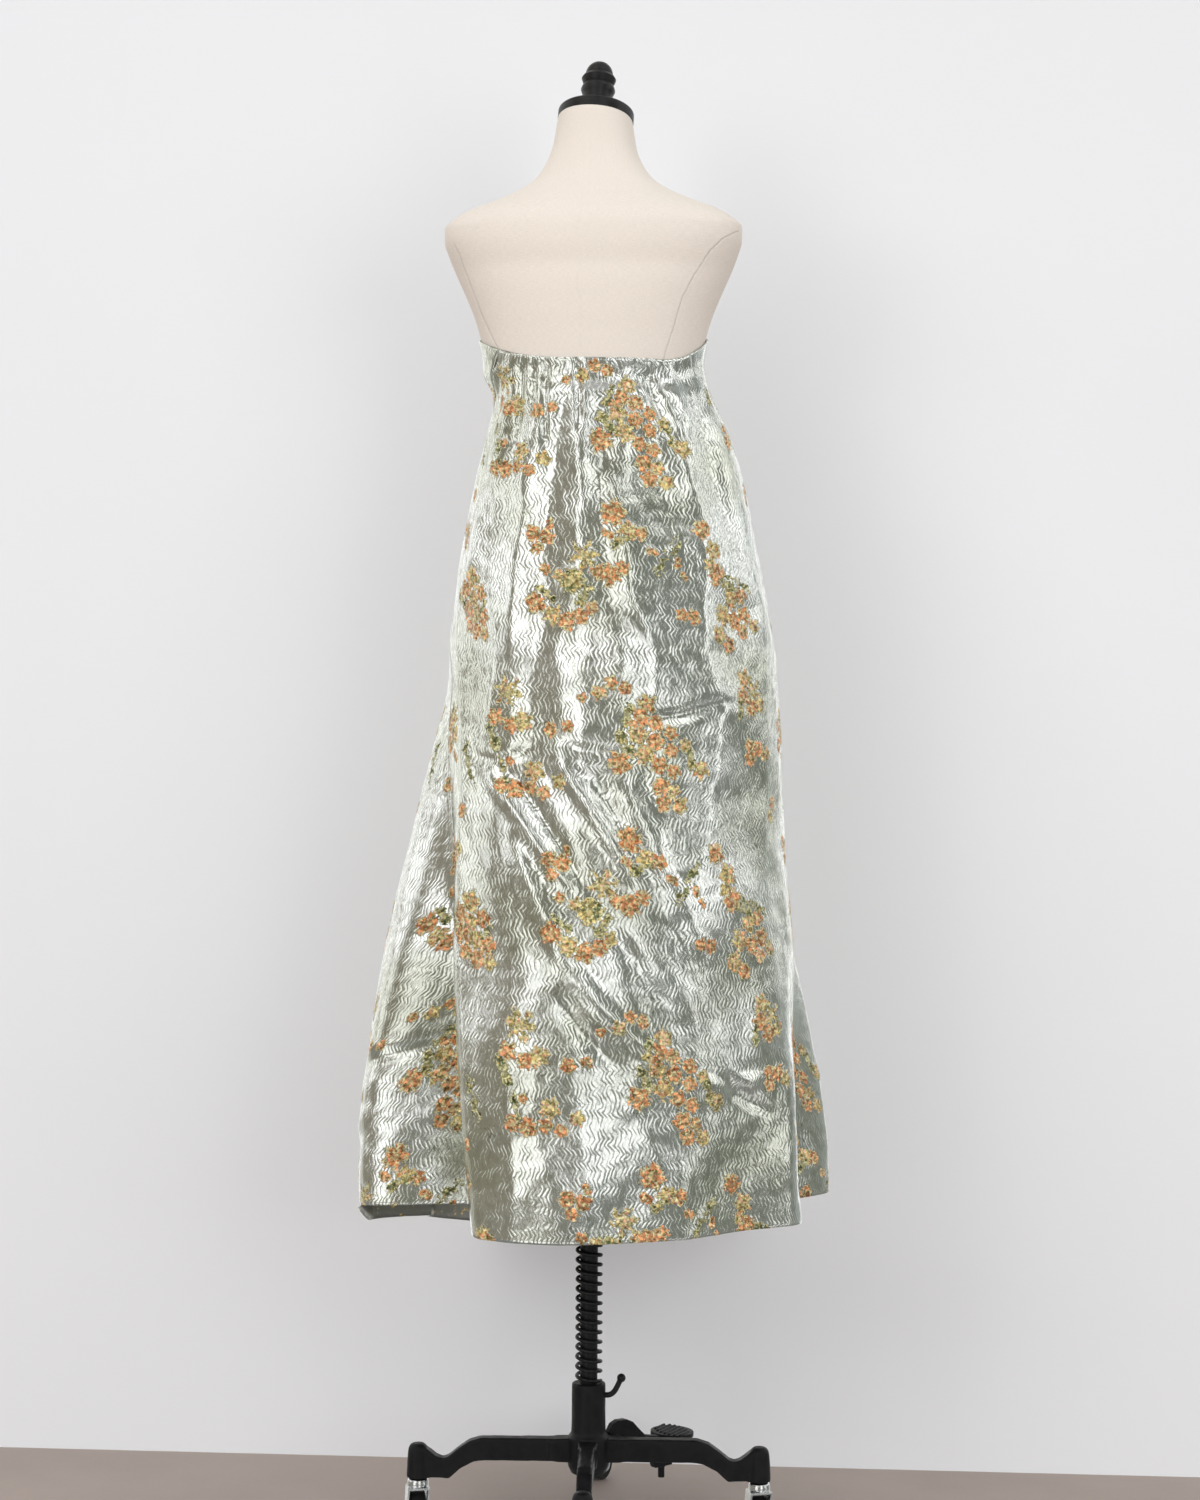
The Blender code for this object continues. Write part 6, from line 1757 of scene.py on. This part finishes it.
def fork_mesh(name, place):
    """A caster's pressed fork with its stem, bearing cup and axle."""
    outer = FORK_GAP / 2.0 + FORK_SHEET
    cheek = [(-FORK_BRIDGE, FORK_TOP_Z)]
    for degrees in np.linspace(FORK_LUG_FROM, FORK_LUG_TO, 15):
        a = math.radians(degrees)
        lug = (FORK_LUG_RADIUS * math.cos(a), FORK_LUG_RADIUS * math.sin(a))
        cheek.append((CASTER_TRAIL + lug[0], WHEEL_RADIUS + lug[1]))
    cheek.append((FORK_BRIDGE, FORK_TOP_Z))
    bm = bmesh.new()
    for side in (-1.0, 1.0):
        place_cheek = Matrix.Translation((0.0, side * (outer - FORK_SHEET / 2.0), 0.0))
        slab(bm, cheek, FORK_SHEET, place_cheek @ STAND_UP)
    half, top, reach = outer - 0.0001, FORK_TOP_Z - 0.0001, FORK_BRIDGE - 0.0002
    bridge = [(-reach, -half), (reach, -half), (reach, half), (-reach, half)]
    slab(bm, bridge, FORK_SHEET, Matrix.Translation((0.0, 0.0, top - FORK_SHEET / 2.0)))
    bmesh.ops.bevel(bm, geom=bm.edges[:], offset=FORK_BEVEL, segments=2, affect="EDGES", clamp_overlap=True)
    rivet = outer + RIVET_PROUD
    axle = (
        (0.0, rivet),
        (AXLE_RADIUS * 0.8, rivet),
        (AXLE_RADIUS, rivet - RIVET_ROUND),
        (AXLE_RADIUS, RIVET_ROUND - rivet),
        (AXLE_RADIUS * 0.8, -rivet),
        (0.0, -rivet),
    )
    stem = ((0.0, STEM_TOP_Z), (STEM_RADIUS, STEM_TOP_Z), (STEM_RADIUS, STEM_FOOT_Z), (0.0, STEM_FOOT_Z))
    joined_turned(bm, axle, 40, TO_AXLE)
    joined_turned(bm, smooth_profile(CUP_PROFILE, 4), 40)
    joined_turned(bm, stem, 40)
    return bmesh_to(bm, name, place)


class DRESS_OT_casters(bpy.types.Operator):
    """Make the four casters: chrome forks and black wheels"""

    bl_idname = "dress.casters"
    bl_label = "Casters"

    def execute(self, context):
        _, chrome, rubber = stand_colours(context)
        plated = chrome_finish("chrome plate", chrome)
        tyre = black_finish("black wheel", rubber, 0.50, grain=90.0, relief=0.0003)
        for number in range(1, 5):
            place = caster_place(number)
            name = f"caster_fork_plated_{number}"
            fork = new_object(name, fork_mesh(name, place))
            stands_for(fork, f"caster_fork_{number}", f"caster_{number}", plated)
            name = f"caster_tyre_{number}"
            wheel = new_object(name, turned_mesh(name, WHEEL_PROFILE, 72, place @ TO_AXLE, sharp=40.0))
            stands_for(wheel, f"caster_wheel_{number}", f"wheel_{number}", tyre)
        return {"FINISHED"}


# ---------------- the stage
def plain_plane(name, corners, material):
    """A flat part of the stage."""
    mesh = bpy.data.meshes.new(name)
    mesh.from_pydata(corners, [], [(0, 1, 2, 3)])
    mesh.materials.append(material)
    obj = new_object(name, mesh)
    return obj


def wall_finish(colour):
    """Painted wall, seen from its front only, so that it hides nothing from behind."""
    f = Finish("painted wall")
    place = f.place()
    shade = f.blend(f.noise(place, 2.5, 3.0), colour, tuple(c * 0.97 for c in colour))
    paint = f.node("ShaderNodeBsdfDiffuse", {"Color": shade})
    glow = f.node("ShaderNodeEmission", {"Color": shade, "Strength": WALL_GLOW})
    paint = f.node("ShaderNodeAddShader", {0: paint.outputs[0], 1: glow.outputs[0]})
    clear = f.node("ShaderNodeBsdfTransparent")
    back = f.node("ShaderNodeNewGeometry").outputs["Backfacing"]
    mixed = f.node("ShaderNodeMixShader", {0: back, 1: paint.outputs[0], 2: clear.outputs[0]})
    f.node("ShaderNodeOutputMaterial", {"Surface": mixed.outputs[0]})
    return f.material


def floor_finish(colour):
    """Smooth pale concrete."""
    f = Finish("concrete floor")
    place = f.place()
    cloud, grit = f.noise(place, 3.0, 5.0, 0.6), f.noise(place, 160.0, 3.0)
    shade = f.blend(f.span(cloud, 0.3, 0.7), colour, tuple(c * 1.12 for c in colour))
    shade = f.blend(f.by(grit, 0.25), shade, tuple(c * 0.8 for c in colour))
    return f.shader(base_color=shade, roughness=0.62, normal=f.bump(grit, 0.0003))


def studio_world():
    """Studio surroundings: grey all round, with bright boxes whose images are the cloth's light bands."""
    world = bpy.data.worlds.new("studio")
    world.use_nodes = True
    f = Nodes(world.node_tree)
    x, y, z = f.parts(f.node("ShaderNodeTexCoord").outputs["Generated"])
    turn = f.math("ARCTAN2", x, f.by(y, -1.0))
    level = f.math("ARCSINE", z)
    light = f.blend(f.span(turn, -0.5, 0.5), WORLD_LEFT, WORLD_RIGHT)
    behind = f.span(f.size(turn), 1.7, 2.3)
    light = f.blend(behind, light, f.blend(f.span(turn, -0.5, 0.5), WORLD_BACK_LEFT, WORLD_BACK_RIGHT))
    light = f.blend(f.span(level, -0.15, -0.60), light, WORLD_LOW)
    light = f.blend(f.span(level, 1.20, 1.45), light, WORLD_TOP)
    for middle, half, edge, low, high, bright in SOFTBOXES:
        off = f.size(f.less(turn, middle))
        share = f.by(f.span(off, half + edge, half), f.span(level, low - 0.05, low + 0.05))
        share = f.by(share, f.span(level, high + 0.05, high - 0.05))
        light = f.blend(share, light, (bright, bright, bright))
    slats = f.math("SINE", f.by(turn, SLAT_RATE))
    slats = f.span(slats, -1.0, 1.0, SLAT_DARK, SLAT_LIGHT)
    light = f.times(light, slats)
    seen = f.node("ShaderNodeLightPath").outputs["Is Camera Ray"]
    light = f.blend(seen, light, BACKDROP)
    background = f.node("ShaderNodeBackground", {"Color": light, "Strength": WORLD_STRENGTH})
    f.node("ShaderNodeOutputWorld", {"Surface": background.outputs[0]})
    return world


class DRESS_OT_stage(bpy.types.Operator):
    """Make the floor, the wall, the studio lights and the camera"""

    bl_idname = "dress.stage"
    bl_label = "Stage"

    def execute(self, context):
        scene, settings = context.scene, context.scene.dress_stage
        floor = plain_plane("floor", FLOOR_CORNERS, floor_finish(tuple(settings.floor)))
        floor.visible_glossy = False
        wall = plain_plane("wall", WALL_CORNERS, wall_finish(tuple(settings.wall)))
        wall.visible_shadow = wall.visible_diffuse = wall.visible_glossy = False
        scene.world = studio_world()
        scene.view_settings.view_transform = "Standard"
        scene.view_settings.look = "None"
        for name, place, aim, size, watts in LAMPS:
            lamp = bpy.data.lights.new(name, "AREA")
            lamp.shape, lamp.size, lamp.size_y, lamp.energy = "RECTANGLE", size[0], size[1], watts
            obj = bpy.data.objects.new(name, lamp)
            scene.collection.objects.link(obj)
            obj.location = place
            obj.visible_glossy = False
            obj.rotation_euler = (Vector(aim) - Vector(place)).to_track_quat("-Z", "Y").to_euler()
        data = bpy.data.cameras.new("camera")
        data.lens, data.sensor_width = settings.lens, 36.0
        data.shift_x = LENS_SHIFT
        camera = bpy.data.objects.new("camera", data)
        scene.collection.objects.link(camera)
        turn, away = settings.turn, settings.distance
        place = (away * math.sin(turn), -away * math.cos(turn), settings.eye_height)
        aim = Matrix.Rotation(turn, 4, "Z") @ Matrix.Rotation(math.radians(90.0), 4, "X")
        camera.matrix_world = Matrix.Translation(place) @ aim @ Matrix.Rotation(CAMERA_ROLL, 4, "Z")
        scene.camera = camera
        return {"FINISHED"}


class DRESS_PT_panel(bpy.types.Panel):
    """Lists the dress's settings and the operators that make its pieces"""

    bl_idname = "DRESS_PT_panel"
    bl_label = "Dress"
    bl_space_type = "VIEW_3D"
    bl_region_type = "UI"
    bl_category = "Dress"

    def draw(self, context):
        for group, title in SETTINGS.items():
            box = self.layout.box()
            box.label(text=group.__doc__)
            settings = getattr(context.scene, title)
            for name in group.__annotations__:
                box.prop(settings, name)
        for operator in OPERATORS:
            self.layout.operator(operator.bl_idname)


SETTINGS = {
    ClothSettings: "dress_cloth",
    FormSettings: "dress_form",
    StandSettings: "dress_stand",
    StageSettings: "dress_stage",
}
OPERATORS = (
    DRESS_OT_stage,
    DRESS_OT_form,
    DRESS_OT_cloth,
    DRESS_OT_spring,
    DRESS_OT_stand,
    DRESS_OT_lever,
    DRESS_OT_pedal,
    DRESS_OT_casters,
)


def register():
    for kind in (*SETTINGS, *OPERATORS, DRESS_PT_panel):
        bpy.utils.register_class(kind)
    for group, title in SETTINGS.items():
        setattr(bpy.types.Scene, title, PointerProperty(type=group))


def unregister():
    for title in SETTINGS.values():
        delattr(bpy.types.Scene, title)
    for kind in reversed((*SETTINGS, *OPERATORS, DRESS_PT_panel)):
        bpy.utils.unregister_class(kind)


def main():
    register()
    bpy.ops.dress.stage()
    bpy.ops.dress.form()
    bpy.ops.dress.cloth()
    bpy.ops.dress.spring()
    bpy.ops.dress.stand()
    bpy.ops.dress.lever()
    bpy.ops.dress.pedal()
    bpy.ops.dress.casters()


if __name__ == "__main__":
    main()
